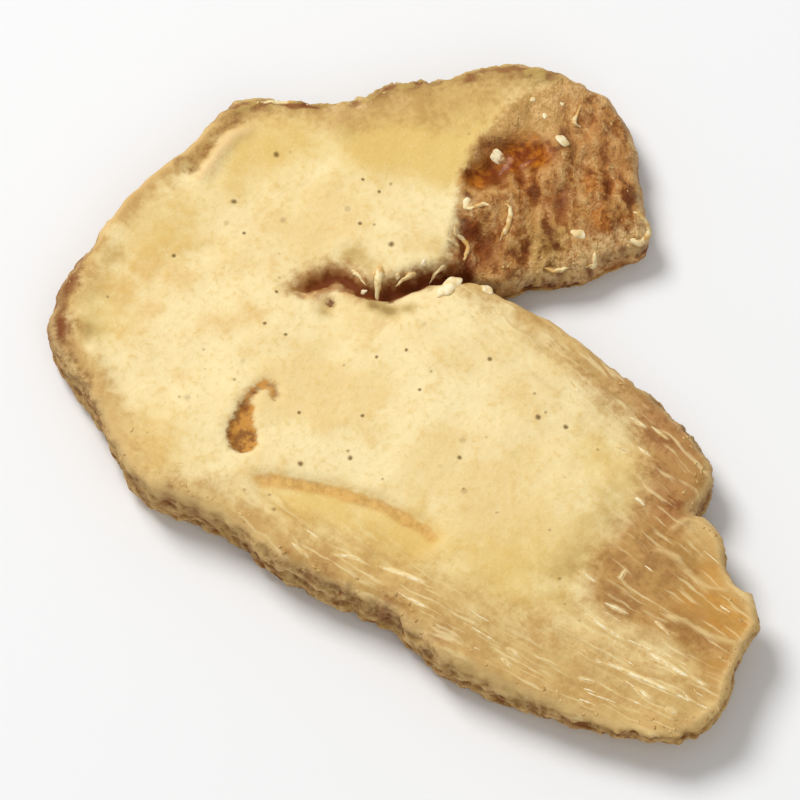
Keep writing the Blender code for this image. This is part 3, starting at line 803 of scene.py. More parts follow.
def make_slice():
    loop = ragged(smooth_loop(OUTLINE, STEPS_PER_POINT))
    mesh = plate_of(loop)
    plate = points_of(mesh) / MM
    level = np.clip(plate[:, 2] / SLAB + 0.5, 0, 1)
    to_edge = follow(plate[:, 0], plate[:, 1], loop, closed=True)[0]
    set_points(mesh, body_of_slice(plate, loop) * MM)
    smoothed(mesh, SMOOTHING_ROUNDS)

    points = points_of(mesh) / MM
    zones = zones_of(points, level, to_edge)
    relief, crest = relief_of(points, zones)
    off_feet = 1 - smoothstep(0.5, 0.8, at_feet(points[:, 0], points[:, 1])) * (level < 0.5)
    normals = points_of(mesh, "normal")
    points = points + (relief * off_feet)[:, None] * normals
    points[:, 2] = np.maximum(points[:, 2], 0)
    for name, values in zones.items():
        paint(mesh, name, values)
    paint(mesh, "crest", crest)
    paint(mesh, "along_fibres", points[:, 0])
    paint(mesh, "over_fibres", across_fibres(points[:, 0], points[:, 1]))
    paint(mesh, "across_slice", points[:, 1])
    placed, middle = fitted(points)
    set_points(mesh, placed * MM)
    mesh.shade_smooth()
    mesh.materials.append(dried_root_finish())
    slice_piece = finished("root_slice", mesh)
    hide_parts(NODE)
    return slice_piece, middle


def finished(name, mesh):
    """The mesh as a piece of the object, riding on its one body."""
    piece = object_of(name, mesh)
    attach(piece, "root")
    return piece


def shade(red, green, blue):
    """A colour given as it looks on screen, 0 to 255, as the light it reflects."""
    def linear(value):
        part = value / 255
        return part / 12.92 if part <= 0.04045 else ((part + 0.055) / 1.055) ** 2.4
    return (linear(red), linear(green), linear(blue), 1)


class Varying:
    """A number that changes over the surface, which can be reckoned with like a plain one."""

    def __init__(self, finish, socket):
        self.finish = finish
        self.socket = socket

    def reckoned(self, operation, first, second):
        node = self.finish.node("ShaderNodeMath", {"operation": operation}, {0: first, 1: second})
        return Varying(self.finish, node.outputs[0])

    def __add__(self, other):
        return self.reckoned("ADD", self, other)

    __radd__ = __add__

    def __sub__(self, other):
        return self.reckoned("SUBTRACT", self, other)

    def __rsub__(self, other):
        return self.reckoned("SUBTRACT", other, self)

    def __mul__(self, other):
        return self.reckoned("MULTIPLY", self, other)

    __rmul__ = __mul__

    def __truediv__(self, other):
        return self.reckoned("DIVIDE", self, other)

    def at_least(self, other):
        return self.reckoned("MAXIMUM", self, other)


class Finish:
    """One procedural material, built up from the paints and patterns below."""

    def __init__(self, name, roughness):
        self.material = bpy.data.materials.new(name)
        self.material.use_nodes = True
        self.tree = self.material.node_tree
        self.shader = self.tree.nodes["Principled BSDF"]
        self.put(self.shader.inputs["Roughness"], roughness)

    def put(self, socket, value):
        """Links a varying value to the socket, or sets a plain one on it."""
        if isinstance(value, Varying):
            self.tree.links.new(value.socket, socket)
        else:
            socket.default_value = value

    def node(self, kind, settings, inputs):
        node = self.tree.nodes.new(kind)
        for name, value in settings.items():
            setattr(node, name, value)
        for name, value in inputs.items():
            self.put(node.inputs[name], value)
        return node

    def painted(self, name):
        """A zone kept on the mesh by paint()."""
        node = self.node("ShaderNodeAttribute", {"attribute_name": name}, {})
        return Varying(self, node.outputs["Fac"])

    def place(self):
        """The point's place in millimetres."""
        where = self.node("ShaderNodeTexCoord", {}, {})
        object_place = Varying(self, where.outputs["Object"])
        scaled = self.node("ShaderNodeVectorMath", {"operation": "SCALE"}, {0: object_place, "Scale": 1 / MM})
        return Varying(self, scaled.outputs[0])

    def vector(self, x, y, z):
        node = self.node("ShaderNodeCombineXYZ", {}, {"X": x, "Y": y, "Z": z})
        return Varying(self, node.outputs[0])

    def cloud(self, place, size, detail=2.0, roughness=0.5):
        """Soft noise about 0.5, with lumps of that size."""
        inputs = {"Vector": place, "Scale": 1 / size, "Detail": detail, "Roughness": roughness}
        return Varying(self, self.node("ShaderNodeTexNoise", {}, inputs).outputs[0])

    def step(self, value, low, high):
        """0 below low, 1 above high, and smooth between."""
        inputs = {"Value": value, "From Min": low, "From Max": high}
        node = self.node("ShaderNodeMapRange", {"interpolation_type": "SMOOTHSTEP"}, inputs)
        return Varying(self, node.outputs[0])

    def crinkles(self, place):
        """A net of thin crests of height 1, as on dried skin."""
        off_middle = self.cloud(place, 1.0, 2) - 0.5
        return self.step(1 - 7 * off_middle.at_least(-1 * off_middle), 0.0, 1.0)

    def broken(self, mask, pattern, amount):
        """A zone's mask, its fading border broken up by a pattern of about 0.5."""
        fading = 4 * mask * (1 - mask)
        return self.step(mask + amount * fading * (pattern - 0.5), 0.0, 1.0)

    def mixed(self, mask, under, over):
        """The first colour with the second laid over it where the mask is 1."""
        node = self.node("ShaderNodeMix", {"data_type": "RGBA"}, {0: mask, 6: under, 7: over})
        return Varying(self, node.outputs[2])

    def distance(self, place, point):
        node = self.node("ShaderNodeVectorMath", {"operation": "DISTANCE"}, {0: place, 1: point})
        return Varying(self, node.outputs["Value"])

    def cells(self, place, size):
        """Scattered points: the distance to the nearest, in cell sizes, and a number of its own."""
        inputs = {"Vector": place, "Scale": 1 / size}
        node = self.node("ShaderNodeTexVoronoi", {}, inputs)
        parts = self.node("ShaderNodeSeparateColor", {}, {0: Varying(self, node.outputs["Color"])})
        return Varying(self, node.outputs["Distance"]), Varying(self, parts.outputs[0])

    def wear(self, colour, roughness, height):
        """Gives the material its varying colour, roughness and fine relief, the relief in metres."""
        self.put(self.shader.inputs["Base Color"], colour)
        self.put(self.shader.inputs["Roughness"], roughness)
        bump = self.node("ShaderNodeBump", {}, {"Strength": 1.0, "Distance": 1.0, "Height": height})
        self.tree.links.new(bump.outputs[0], self.shader.inputs["Normal"])


FLESH_PALE = shade(249, 228, 172)
FLESH_MID = shade(240, 211, 148)
FLESH_DEEP = shade(230, 195, 128)
FLESH_YELLOW = shade(226, 190, 104)
FLESH_ORANGE = shade(220, 170, 92)
SKIN = shade(184, 140, 82)
SKIN_SHADE = shade(132, 82, 36)
SKIN_PALE_AND_HIGHLIGHT = shade(226, 192, 130)
WEATHERED = shade(148, 100, 56)
RIND = shade(160, 98, 42)
RIND_CREASE_SHADE = shade(100, 44, 14)
RIND_TAN = shade(194, 142, 78)
RIND_PALE_AND_HIGHLIGHT = shade(224, 178, 116)
RUST = shade(122, 50, 16)
MAUVE = shade(180, 126, 72)
MAUVE_DARK = shade(140, 84, 44)
OLIVE = shade(190, 158, 88)
OLIVE_DARK_AND_SHADE = shade(148, 114, 52)
TAN = shade(208, 170, 102)
TAN_DEEP = shade(192, 148, 84)
BROWN = shade(192, 144, 80)
BROWN_DARK = shade(162, 112, 58)
AMBER = shade(194, 116, 26)
AMBER_DEEP = shade(130, 56, 6)
HONEY = shade(216, 160, 78)
HONEY_DEEP = shade(190, 132, 54)
BURNT = shade(196, 120, 46)
BURNT_DARK = shade(140, 72, 20)
FLANK = shade(198, 138, 76)
FLANK_DARK = shade(158, 100, 50)
BRUISE = shade(222, 174, 98)
BRUISE_DARK = shade(192, 138, 64)
SCAR = shade(204, 142, 60)
SCAR_DARK = shade(142, 88, 30)
TORN = shade(212, 164, 102)
TORN_DARK = shade(166, 108, 54)
CREVICE_HALO_SHADE = shade(152, 94, 34)
SHADED_HOLLOW_BROWN = shade(112, 52, 16)
DOT = shade(116, 84, 36)
PALE_CRUMB_AND_HIGHLIGHT = shade(234, 198, 140)
CREAM = shade(253, 238, 196)
FIBRE_PALE = shade(248, 226, 168)
FIBRE_SHADOW = shade(186, 146, 78)


def flesh_colours(f, painted, patches, grains, specks):
    """The cut flesh: cream, warmer and yellower in patches, and tan along its margins."""
    broad = f.cloud(f.place(), 7.0, 3)
    mottled = 0.6 * patches + 0.4 * grains
    colour = f.mixed(f.step(broad + 0.4 * (patches - 0.5), 0.36, 0.64), FLESH_PALE, FLESH_MID)
    colour = f.mixed(0.4 * f.step(mottled, 0.48, 0.66), colour, FLESH_DEEP)
    colour = f.mixed(0.8 * f.broken(painted["yellow"], patches, 1.0), colour, FLESH_YELLOW)
    colour = f.mixed(0.6 * f.broken(painted["orange"], patches, 1.4), colour, FLESH_ORANGE)
    colour = f.mixed(0.3 * f.step(grains, 0.5, 0.68), colour, FLESH_YELLOW)
    colour = f.mixed(0.25 * f.step(specks, 0.6, 0.72), colour, CREAM)
    # Where the olive is strongest it turns dark: painted shade in the dips beside the crevice and in the butt fold's
    # furrow, dark olive tint at the heel.
    greenish = f.mixed(f.step(painted["olive"] + 0.4 * (mottled - 0.5), 0.65, 1.0), OLIVE, OLIVE_DARK_AND_SHADE)
    colour = f.mixed(0.75 * f.broken(painted["olive"], patches, 1.2), colour, greenish)
    margin_tan = f.mixed(f.step(mottled, 0.42, 0.6), TAN, TAN_DEEP)
    colour = f.mixed(0.85 * f.broken(painted["margin"], mottled, 1.3), colour, margin_tan)
    glassy = f.mixed(f.step(mottled, 0.4, 0.6), BROWN, BROWN_DARK)
    colour = f.mixed(0.92 * f.broken(painted["brown"], patches, 1.6), colour, glassy)
    golden = f.mixed(f.step(mottled, 0.4, 0.62), HONEY_DEEP, HONEY)
    colour = f.mixed(0.85 * f.broken(painted["honey"], patches, 1.0), colour, golden)
    ruddy = f.mixed(f.step(mottled, 0.46, 0.66), MAUVE, MAUVE_DARK)
    return f.mixed(0.8 * f.broken(painted["mauve"], mottled, 1.4), colour, ruddy)


def rind_colours(f, painted, patches, grains, specks, along, over):
    """The knob's rind: tan and brown streaks along its folds, redder and darker in places, with painted shade in its
    creases and painted highlights on its crests.
    """
    crest = painted["crest"]
    aslant = 0.72 * along + 0.69 * over + 1.2 * (patches - 0.5)
    down = 0.72 * over - 0.69 * along
    streaks = f.cloud(f.vector(aslant / 1.1, down / 2.2, 3.0), 1.0, 3, 0.6)
    crinkles = f.crinkles(f.vector(aslant / 0.8, down / 1.7, 9.0))
    mottled = 0.5 * patches + 0.5 * grains
    colour = f.mixed(f.step(streaks + 0.4 * (grains - 0.5), 0.43, 0.57), RIND, RIND_TAN)
    burnt = f.mixed(f.step(mottled, 0.42, 0.56), BURNT_DARK, BURNT)
    colour = f.mixed(0.95 * f.broken(painted["orange"], patches, 1.6), colour, burnt)
    ruddy = f.mixed(f.step(streaks + 0.7 * (grains - 0.5), 0.36, 0.54), FLANK_DARK, FLANK)
    colour = f.mixed(0.95 * f.broken(painted["mauve"], patches, 1.2), colour, ruddy)
    greenish = f.mixed(f.step(streaks + 0.4 * (grains - 0.5), 0.4, 0.6), OLIVE_DARK_AND_SHADE, OLIVE)
    colour = f.mixed(0.9 * f.broken(painted["olive"], patches, 1.2), colour, greenish)
    colour = f.mixed(0.95 * f.broken(painted["rust"], mottled, 1.6), colour, RUST)
    # Painted shade: the rind is darkened where its surface lies low, in its creases.
    shaded_creases = 1 - f.step(crest + 0.8 * (grains - 0.5), -0.8, 0.0)
    colour = f.mixed(0.85 * shaded_creases * (1 - 0.7 * painted["mauve"]), colour, RIND_CREASE_SHADE)
    # Painted highlights: the rind is paler along the crinkles' crests and where its surface stands high.
    colour = f.mixed(0.35 * crinkles * f.step(crest + grains, 0.2, 1.0), colour, RIND_PALE_AND_HIGHLIGHT)
    colour = f.mixed(0.6 * f.step(crest + 1.6 * (grains - 0.5), 0.1, 0.9), colour, RIND_PALE_AND_HIGHLIGHT)
    crumbly = f.mixed(f.step(mottled, 0.42, 0.58), RIND_PALE_AND_HIGHLIGHT, TAN_DEEP)
    colour = f.mixed(0.95 * f.broken(painted["tan"], mottled, 1.6), colour, crumbly)
    # Pale flecks, more of them on the crests: partly the crumbs' own colour, partly painted highlight.
    colour = f.mixed(0.45 * f.step(specks + 0.2 * crest, 0.62, 0.76), colour, PALE_CRUMB_AND_HIGHLIGHT)
    return colour, 0.0003 * streaks + 0.00004 * crinkles


def sap_dots(f, painted, along, over, grains):
    """The cut ends of the sap strands: many faint small ones, and a few larger in known places."""
    flat_place = f.vector(along + 0.3 * (grains - 0.5), f.painted("across_slice"), 0.0)
    distance, own = f.cells(f.vector(along, over, 0.0), 1.7)
    dots = 0.6 * (1 - f.step(distance, 0.03, 0.11)) * f.step(own, 0.3, 0.9)
    distance, own = f.cells(f.vector(along, over, 4.0), 2.9)
    dots = dots.at_least(0.35 * (1 - f.step(distance, 0.04, 0.13)) * f.step(own, 0.4, 0.8))
    for x, y, radius in VASCULAR_DOTS:
        away = f.distance(flat_place, (x, y, 0.0))
        dots = dots.at_least(1 - f.step(away, 0.2 * radius, 1.1 * radius))
    return dots * (1 - painted["knob"]) * (1 - painted["skin"]) * (1 - 0.7 * painted["margin"])


def dried_root_finish():
    f = Finish("dried_root", 0.6)
    f.put(f.shader.inputs["Specular IOR Level"], 0.12)
    f.put(f.shader.inputs["Coat Roughness"], 0.35)
    place = f.place()
    zones = ["bruised", "scar", "crevice", "crevice_halo_shade", "torn", "streak"]
    zones += ["knob", "skin", "margin", "crust_and_shade", "pale_lit_rim", "fibrous"]
    painted = {name: f.painted(name) for name in [*SPOTS, *zones, "crest"]}
    along, over, side = (f.painted(name) for name in ("along_fibres", "over_fibres", "across_slice"))
    crest, fibrous = painted["crest"], painted["fibrous"]

    patches = f.cloud(place, 2.1, 5, 0.6)
    grains = f.cloud(place, 0.5, 4, 0.6)
    specks = f.cloud(place, 0.18, 2)
    mottled = 0.5 * patches + 0.5 * grains
    wavy = over + 1.2 * (f.cloud(place, 3.0, 2) - 0.5)
    strands = f.cloud(f.vector(along / 7, wavy / 1.1, 0.0), 1.0, 3, 0.6)
    threads = f.cloud(f.vector(along / 3.5, wavy / 0.5, 7.0), 1.0, 2)

    flesh = flesh_colours(f, painted, patches, grains, specks)
    flesh = f.mixed(0.4 * fibrous * f.step(strands - 0.2 * crest, 0.45, 0.7), flesh, FIBRE_SHADOW)
    flesh = f.mixed(0.55 * fibrous * f.step(threads + 0.06 * crest, 0.54, 0.7), flesh, FIBRE_PALE)
    streak = painted["streak"] + 0.9 * (grains - 0.5) + 0.9 * (threads - 0.5)
    flesh = f.mixed(0.85 * f.step(streak, 0.3, 1.0), flesh, FIBRE_PALE)
    rind, rind_height = rind_colours(f, painted, patches, grains, specks, along, side)

    skin_folds = f.crinkles(place)
    # Painted shade: the skin is darker where its surface lies low, broken up by patches.
    skin = f.mixed(f.step(crest + 0.9 * (patches - 0.5), -0.7, 0.4), SKIN_SHADE, SKIN)
    skin = f.mixed(0.35 * f.step(patches, 0.42, 0.68), skin, OLIVE)
    # Painted highlights: the skin is paler along the crinkles' crests and where its surface stands high.
    skin = f.mixed(0.45 * skin_folds * f.step(grains, 0.35, 0.6), skin, SKIN_PALE_AND_HIGHLIGHT)
    skin = f.mixed(0.6 * f.step(crest + 1.5 * (grains - 0.5), 0.1, 0.9), skin, SKIN_PALE_AND_HIGHLIGHT)
    skin = f.mixed(0.75 * f.broken(painted["weathered"], mottled, 2.0), skin, WEATHERED)

    colour = f.mixed(f.step(painted["skin"] + 0.5 * (grains - 0.5), 0.1, 0.95), flesh, skin)
    # The band along the top rim: crusty skin with painted shade over it, darkest where its surface lies low.
    crust_and_shade = f.mixed(f.step(crest + 1.6 * (mottled - 0.5), -0.5, 0.5), MAUVE_DARK, OLIVE)
    colour = f.mixed(0.8 * f.broken(painted["crust_and_shade"], mottled, 2.0), colour, crust_and_shade)
    colour = f.mixed(0.75 * f.broken(painted["rust"], mottled, 2.4), colour, RUST)
    colour = f.mixed(f.broken(painted["knob"], mottled, 2.4), colour, rind)
    # The pale rim and lips: partly pale skin, partly painted highlight.
    colour = f.mixed(0.7 * f.broken(painted["pale_lit_rim"], mottled, 2.0), colour, SKIN_PALE_AND_HIGHLIGHT)

    bruise = f.step(painted["bruised"] + 0.7 * (mottled - 0.5), 0.15, 0.95)
    tawny = f.mixed(f.step(mottled, 0.4, 0.56), BRUISE_DARK, BRUISE)
    colour = f.mixed((0.3 + 0.9 * patches) * bruise, colour, tawny)
    scar = f.broken(painted["scar"], grains, 1.6)
    colour = f.mixed(0.97 * scar, colour, f.mixed(f.step(mottled, 0.42, 0.56), SCAR_DARK, SCAR))
    glassy = f.broken(painted["amber"], mottled, 1.6)
    colour = f.mixed(0.95 * glassy, colour, f.mixed(f.step(mottled, 0.42, 0.62), AMBER_DEEP, AMBER))
    colour = f.mixed(0.85 * f.broken(painted["pale"], grains, 2.6), colour, PALE_CRUMB_AND_HIGHLIGHT)

    # Painted shade round the crevice, brown.
    colour = f.mixed(0.95 * f.broken(painted["crevice_halo_shade"], mottled, 1.6), colour, CREVICE_HALO_SHADE)
    torn = f.mixed(f.step(grains + 0.3 * crest, 0.4, 0.62), TORN_DARK, TORN)
    colour = f.mixed(0.8 * f.broken(painted["torn"], mottled, 2.0), colour, torn)
    # Painted shade: the crevice and the pits are painted dark brown, darkest where deepest, with the scar's dark
    # edge.
    shaded_hollows = painted["crevice"].at_least(painted["dark"])
    colour = f.mixed(0.99 * f.broken(shaded_hollows, grains, 1.4), colour, SHADED_HOLLOW_BROWN)
    dots = sap_dots(f, painted, along, over, grains)
    colour = f.mixed(0.88 * dots, colour, DOT)

    roughness = 0.6 - 0.16 * glassy - 0.1 * bruise - 0.12 * painted["knob"].at_least(painted["mauve"])
    roughness = roughness + 0.15 * (grains - 0.5)
    height = 0.00014 * patches + 0.00005 * grains - 0.00006 * dots
    height = height + fibrous * (0.00009 * strands + 0.00006 * threads)
    rough = painted["skin"].at_least(painted["knob"]).at_least(painted["crust_and_shade"]) * (1 - glassy)
    height = height + rough * (0.0002 * grains + 0.00008 * specks + 0.00002 * skin_folds)
    height = height + painted["knob"] * (1 - glassy) * rind_height
    f.put(f.shader.inputs["Coat Weight"], 0.15 * glassy)
    f.wear(colour, roughness, height)
    return f.material


def pale_skin_finish(name, low, high, roughness):
    """Dried scraps of skin and fibre: paler and browner from one scrap to the next."""
    f = Finish(name, roughness)
    f.put(f.shader.inputs["Specular IOR Level"], 0.35)
    place = f.place()
    patches = f.cloud(place, 0.9, 3)
    grains = f.cloud(place, 0.3, 3)
    colour = f.mixed(f.step(patches + 0.4 * (grains - 0.5), 0.38, 0.62), low, high)
    f.wear(colour, roughness + 0.3 * (grains - 0.5), 0.00006 * grains)
    return f.material


def plain_finish(name, roughness, colour):
    f = Finish(name, roughness)
    f.put(f.shader.inputs["Base Color"], colour)
    return f.material


# Curled strips of skin: the points they pass, their half-width, and how far they arch off the surface.
CURLS = [
    ([(-9.9, 12.4), (-9.2, 12.5), (-8.7, 11.9), (-8.3, 11.0), (-8.1, 10.1)], 0.2, 0.12),
    ([(-11.6, 22.6), (-11.3, 21.9), (-11.2, 21.3), (-10.8, 21.1), (-10.3, 21.4)], 0.15, 0.08),
    ([(-10.9, 7.6), (-10.4, 8.4), (-9.6, 8.3), (-9.1, 7.5), (-8.9, 6.8)], 0.22, 0.08),
    ([(-10.8, 6.8), (-10.3, 7.5), (-9.8, 7.4)], 0.18, 0.05),
    ([(-11.5, 10.1), (-11.0, 10.9), (-10.3, 11.4)], 0.2, 0.06),
    ([(-2.9, 19.2), (-2.0, 19.6), (-1.2, 19.2), (-0.8, 18.3), (-0.9, 17.5), (-1.7, 17.5)], 0.34, 0.06),
    ([(-2.7, 14.9), (-2.1, 14.1), (-2.4, 13.4)], 0.2, 0.06),
    ([(-3.2, 12.6), (-3.7, 11.6), (-4.5, 11.1)], 0.18, 0.06),
    ([(-29.6, 5.6), (-28.4, 7.0), (-27.2, 8.0)], 0.2, 0.02),
    ([(-30.6, -2.8), (-30.7, -1.4), (-30.5, -0.4)], 0.26, 0.02),
]

# Slivers that hang into the crevice from its far rim: root, tip and the half-width at the root.
SLIVERS = [
    ((-14.2, 0.3), (-12.0, 0.1), 0.3),
    ((-12.7, 1.9), (-11.1, -0.2), 0.55),
    ((-10.6, 3.5), (-10.9, 1.6), 0.34),
    ((-9.5, 5.6), (-9.6, 3.9), 0.3),
]

# Flakes stuck on the surface: x, y, length, width, thickness, and the turn of their length in degrees.
FLAKES = [
    (-10.4, 19.4, 1.2, 1.0, 0.4, 0),
    (-4.4, 14.8, 1.3, 0.8, 0.4, 120),
    (-14.5, 20.4, 0.5, 0.4, 0.2, 0),
    (-12.7, 21.7, 0.4, 0.3, 0.15, 80),
    (-12.9, 20.0, 0.5, 0.4, 0.15, 10),
    (-7.6, 4.0, 2.3, 1.2, 0.6, 25),
    (-5.4, 5.9, 1.2, 0.9, 0.5, 150),
    (-11.9, 10.4, 1.0, 0.6, 0.25, 60),
    (-10.9, 8.2, 0.8, 0.6, 0.25, 20),
    (-12.3, -0.3, 0.5, 0.4, 0.25, 20),
    (-11.2, 2.2, 0.5, 0.35, 0.25, 70),
    (-10.5, 4.3, 0.6, 0.4, 0.25, 60),
]
# A pale glossy flake in the amber hollow, standing for the glint there: painted highlight. Given as the flakes are.
GLINT = (-13.3, 15.3, 1.7, 0.9, 0.5, 130)
SCRAP_SINK = 0.15

# Pale fibres that stand out of the frayed lobe, larger first: the points they pass and their half-width.
PALE_FIBRES = [
    ([(23.6, -7.5), (26.6, -7.1), (29.5, -6.3)], 0.15),
    ([(21.0, -11.1), (23.1, -9.9), (26.2, -9.1), (30.0, -7.9)], 0.13),
    ([(18.3, -8.5), (20.3, -8.3), (22.2, -8.0)], 0.12),
    ([(27.9, -9.9), (29.1, -9.6)], 0.17),
    ([(25.0, -10.2), (26.9, -10.1)], 0.12),
    ([(21.5, -12.7), (22.9, -11.9)], 0.11),
    ([(18.7, -6.9), (20.9, -6.2)], 0.1),
    ([(15.7, -6.4), (17.4, -6.1)], 0.09),
    ([(22.4, -5.2), (24.2, -5.4)], 0.1),
    ([(18.4, -4.8), (18.2, -3.7)], 0.09),
    ([(14.4, 1.1), (15.5, 1.1)], 0.13),
    ([(10.3, 3.1), (11.6, 3.6)], 0.13),
    ([(11.5, 4.4), (13.1, 4.5)], 0.11),
    ([(9.5, 5.8), (11.1, 6.0)], 0.09),
    ([(11.0, 6.4), (12.9, 6.5)], 0.09),
    ([(16.5, -15.5), (17.7, -15.6)], 0.11),
    ([(16.2, -14.6), (17.5, -14.5)], 0.11),
    ([(1.6, -18.2), (3.6, -16.9)], 0.1),
    ([(4.7, -16.4), (6.5, -15.8)], 0.1),
    ([(5.9, -16.0), (8.5, -15.1)], 0.11),
    ([(8.1, -17.0), (10.1, -16.5)], 0.1),
    ([(-1.3, -19.6), (0.9, -19.6)], 0.09),
]

CRUMBS = 170
CRUMB_SIZES = (0.14, 0.42)
CRUMB_INSETS = (0.1, 1.4)
CRUMB_FLATNESS = 0.45
LOOSE_FIBRES = 26
FIBRE_LENGTHS = (1.0, 4.0)
FIBRE_HALF_WIDTHS = (0.05, 0.1)


class Bed:
    """The slice's surface, seen from above, for laying scraps on. Its points are given as the outline's are."""

    def __init__(self, piece, middle):
        mesh = piece.data
        faces = [tuple(face.vertices) for face in mesh.polygons]
        self.tree = BVHTree.FromPolygons([point.co for point in mesh.vertices], faces)
        self.middle = middle

    def at(self, x, y):
        """The surface there and the way it faces, or None past the edge."""
        above = Vector(((x - self.middle[0]) * MM, (y - self.middle[1]) * MM, 20 * MM))
        hit, facing, _, _ = self.tree.ray_cast(above, Vector((0, 0, -1)))
        return None if hit is None else (hit, facing)


def even_steps(path, steps):
    """Points spread evenly along a broken line, from its first point to its last."""
    corners = np.array(path, float)
    lengths = np.concatenate([[0], np.cumsum(np.linalg.norm(np.diff(corners, axis=0), axis=1))])
    wanted = np.linspace(0, lengths[-1], steps)
    return np.stack([np.interp(wanted, lengths, corners[:, axis]) for axis in range(corners.shape[1])], axis=1)


def softened(points):
    """The points with their corners rounded, ends kept."""
    inner = (points[:-2] + 2 * points[1:-1] + points[2:]) / 4
    return np.concatenate([points[:1], inner, points[-1:]])


def spindle(half_width, count):
    """Half-widths along a thread that is thin at both ends."""
    return [half_width * math.sin(math.pi * (step + 0.4) / (count - 0.2)) ** 0.6 for step in range(count)]


def spike(half_width, count):
    """Half-widths along a sliver, from its broad root, which narrows where it is buried, to its tip."""
    return [half_width * min(1, 0.3 + 0.4 * step) * (1 - 0.85 * step / (count - 1)) for step in range(count)]


def hold_inside(solid):
    """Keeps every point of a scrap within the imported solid's box."""
    low, high = cad_box
    for vert in solid.verts:
        vert.co = np.clip(vert.co, low, high)


def strands_mesh(name, strands, wobble):
    """Uneven threads as one mesh. Each is a list of points in metres and their half-widths in millimetres."""
    curve = bpy.data.curves.new(name, "CURVE")
    curve.dimensions = "3D"
    curve.bevel_depth = MM
    curve.bevel_resolution = 1
    curve.use_fill_caps = True
    for points, half_widths in strands:
        spline = curve.splines.new("POLY")
        spline.points.add(len(points) - 1)
        for knot, point, half_width in zip(spline.points, points, half_widths):
            knot.co = (*point, 1)
            knot.radius = half_width
    mesh = as_mesh(object_of(name, curve))
    solid = bmesh.new()
    solid.from_mesh(mesh)
    bmesh.ops.remove_doubles(solid, verts=solid.verts, dist=0.0001 * MM)
    for vert in solid.verts:
        place = vert.co / MM
        vert.co += wobble * MM * noise.noise_vector(place / 0.45)
    hold_inside(solid)
    bmesh.ops.recalc_face_normals(solid, faces=solid.faces)
    solid.to_mesh(mesh)
    solid.free()
    mesh.shade_smooth()
    return mesh


def laid(bed, path, steps, sunk, arch):
    """A path laid that deep in the surface and arched up off it between its ends, or None past the edge."""
    laid_points = []
    for number, (x, y) in enumerate(softened(softened(even_steps(path, steps)))):
        found = bed.at(x, y)
        if found is None:
            return None
        rise = arch * math.sin(math.pi * number / (steps - 1)) - sunk
        laid_points.append(found[0] + Vector((0, 0, rise * MM)))
    return laid_points


def make_curls(bed):
    strands = []
    for path, half_width, arch in CURLS:
        points = laid(bed, path, 13, 0.4 * half_width, arch)
        if points:
            strands.append((points, spindle(half_width, 13)))
    for root, tip, half_width in SLIVERS:
        high, low = (bed.at(*point)[0] for point in (root, tip))
        points = []
        for step in range(11):
            rise = 0.9 * half_width * math.sin(math.pi * step / 10) - 0.5 * half_width * (1 - step / 10)
            points.append(high.lerp(low, step / 10) + Vector((0, 0, rise * MM)))
        strands.append((points, spike(half_width, 11)))
    mesh = strands_mesh("skin_curls", strands, 0.16)
    mesh.materials.append(pale_skin_finish("curled_skin", BRUISE, FLESH_PALE, 0.42))
    finished("skin_curls", mesh)


def lump(solid, bed, x, y, size, turn, faceting, seed):
    """A small uneven scrap of that length, width and thickness, half sunk in the surface."""
    found = bed.at(x, y)
    if found is None:
        return
    hit, facing = found
    upright = facing.to_track_quat("Z", "Y").to_matrix().to_4x4()
    scale = Matrix.Diagonal((size[0] / 2 * MM, size[1] / 2 * MM, size[2] / 2 * MM, 1))
    place = Matrix.Translation(hit - facing * (SCRAP_SINK * size[2] * MM))
    turned = place @ upright @ Matrix.Rotation(math.radians(turn), 4, "Z") @ scale
    made = bmesh.ops.create_icosphere(solid, subdivisions=faceting, radius=1)["verts"]
    for vert in made:
        vert.co *= 1 + 0.42 * noise.noise(vert.co * 1.2 + Vector((seed, 0, 0)))
    bmesh.ops.transform(solid, matrix=turned, verts=made)


def lumps_piece(name, lumps, bed, faceting, finish):
    solid = bmesh.new()
    for number, (x, y, length, width, thickness, turn) in enumerate(lumps):
        lump(solid, bed, x, y, (length, width, thickness), turn, faceting, number * 3.1)
    hold_inside(solid)
    mesh = bpy.data.meshes.new(name)
    solid.to_mesh(mesh)
    solid.free()
    mesh.shade_smooth()
    mesh.materials.append(finish)
    finished(name, mesh)


def make_crumbs(bed):
    rng = np.random.default_rng(5)
    loop = smooth_loop(OUTLINE, STEPS_PER_POINT)
    inward = np.roll(loop, -1, axis=0) - np.roll(loop, 1, axis=0)
    inward = np.stack([-inward[:, 1], inward[:, 0]], axis=1)
    inward /= np.linalg.norm(inward, axis=1)[:, None]
    crumbs = []
    while len(crumbs) < CRUMBS:
        number = rng.integers(len(loop))
        x, y = loop[number] + inward[number] * rng.uniform(*CRUMB_INSETS)
        size = rng.uniform(*CRUMB_SIZES) * rng.uniform(0.6, 1, 3)
        if rng.uniform() < crumbling(x, y):
            crumbs.append((x, y, size[0] * 1.6, size[1], size[2] * CRUMB_FLATNESS, rng.uniform(0, 180)))
    lumps_piece("rim_crumbs", crumbs, bed, 1, pale_skin_finish("crumbs", TAN_DEEP, FLESH_DEEP, 0.6))


def fibre_path(start, lane, length):
    """A thread along the fibres, as (x, y): it keeps to its lane but for a small wander."""
    path = []
    y = lane
    for x in np.linspace(start, start + length, 11):
        for _ in range(3):
            y += lane - across_fibres(x, y)
        path.append((x, y + 0.5 * noise.noise(Vector((x / 4, lane, 0)))))
    return np.array(path)


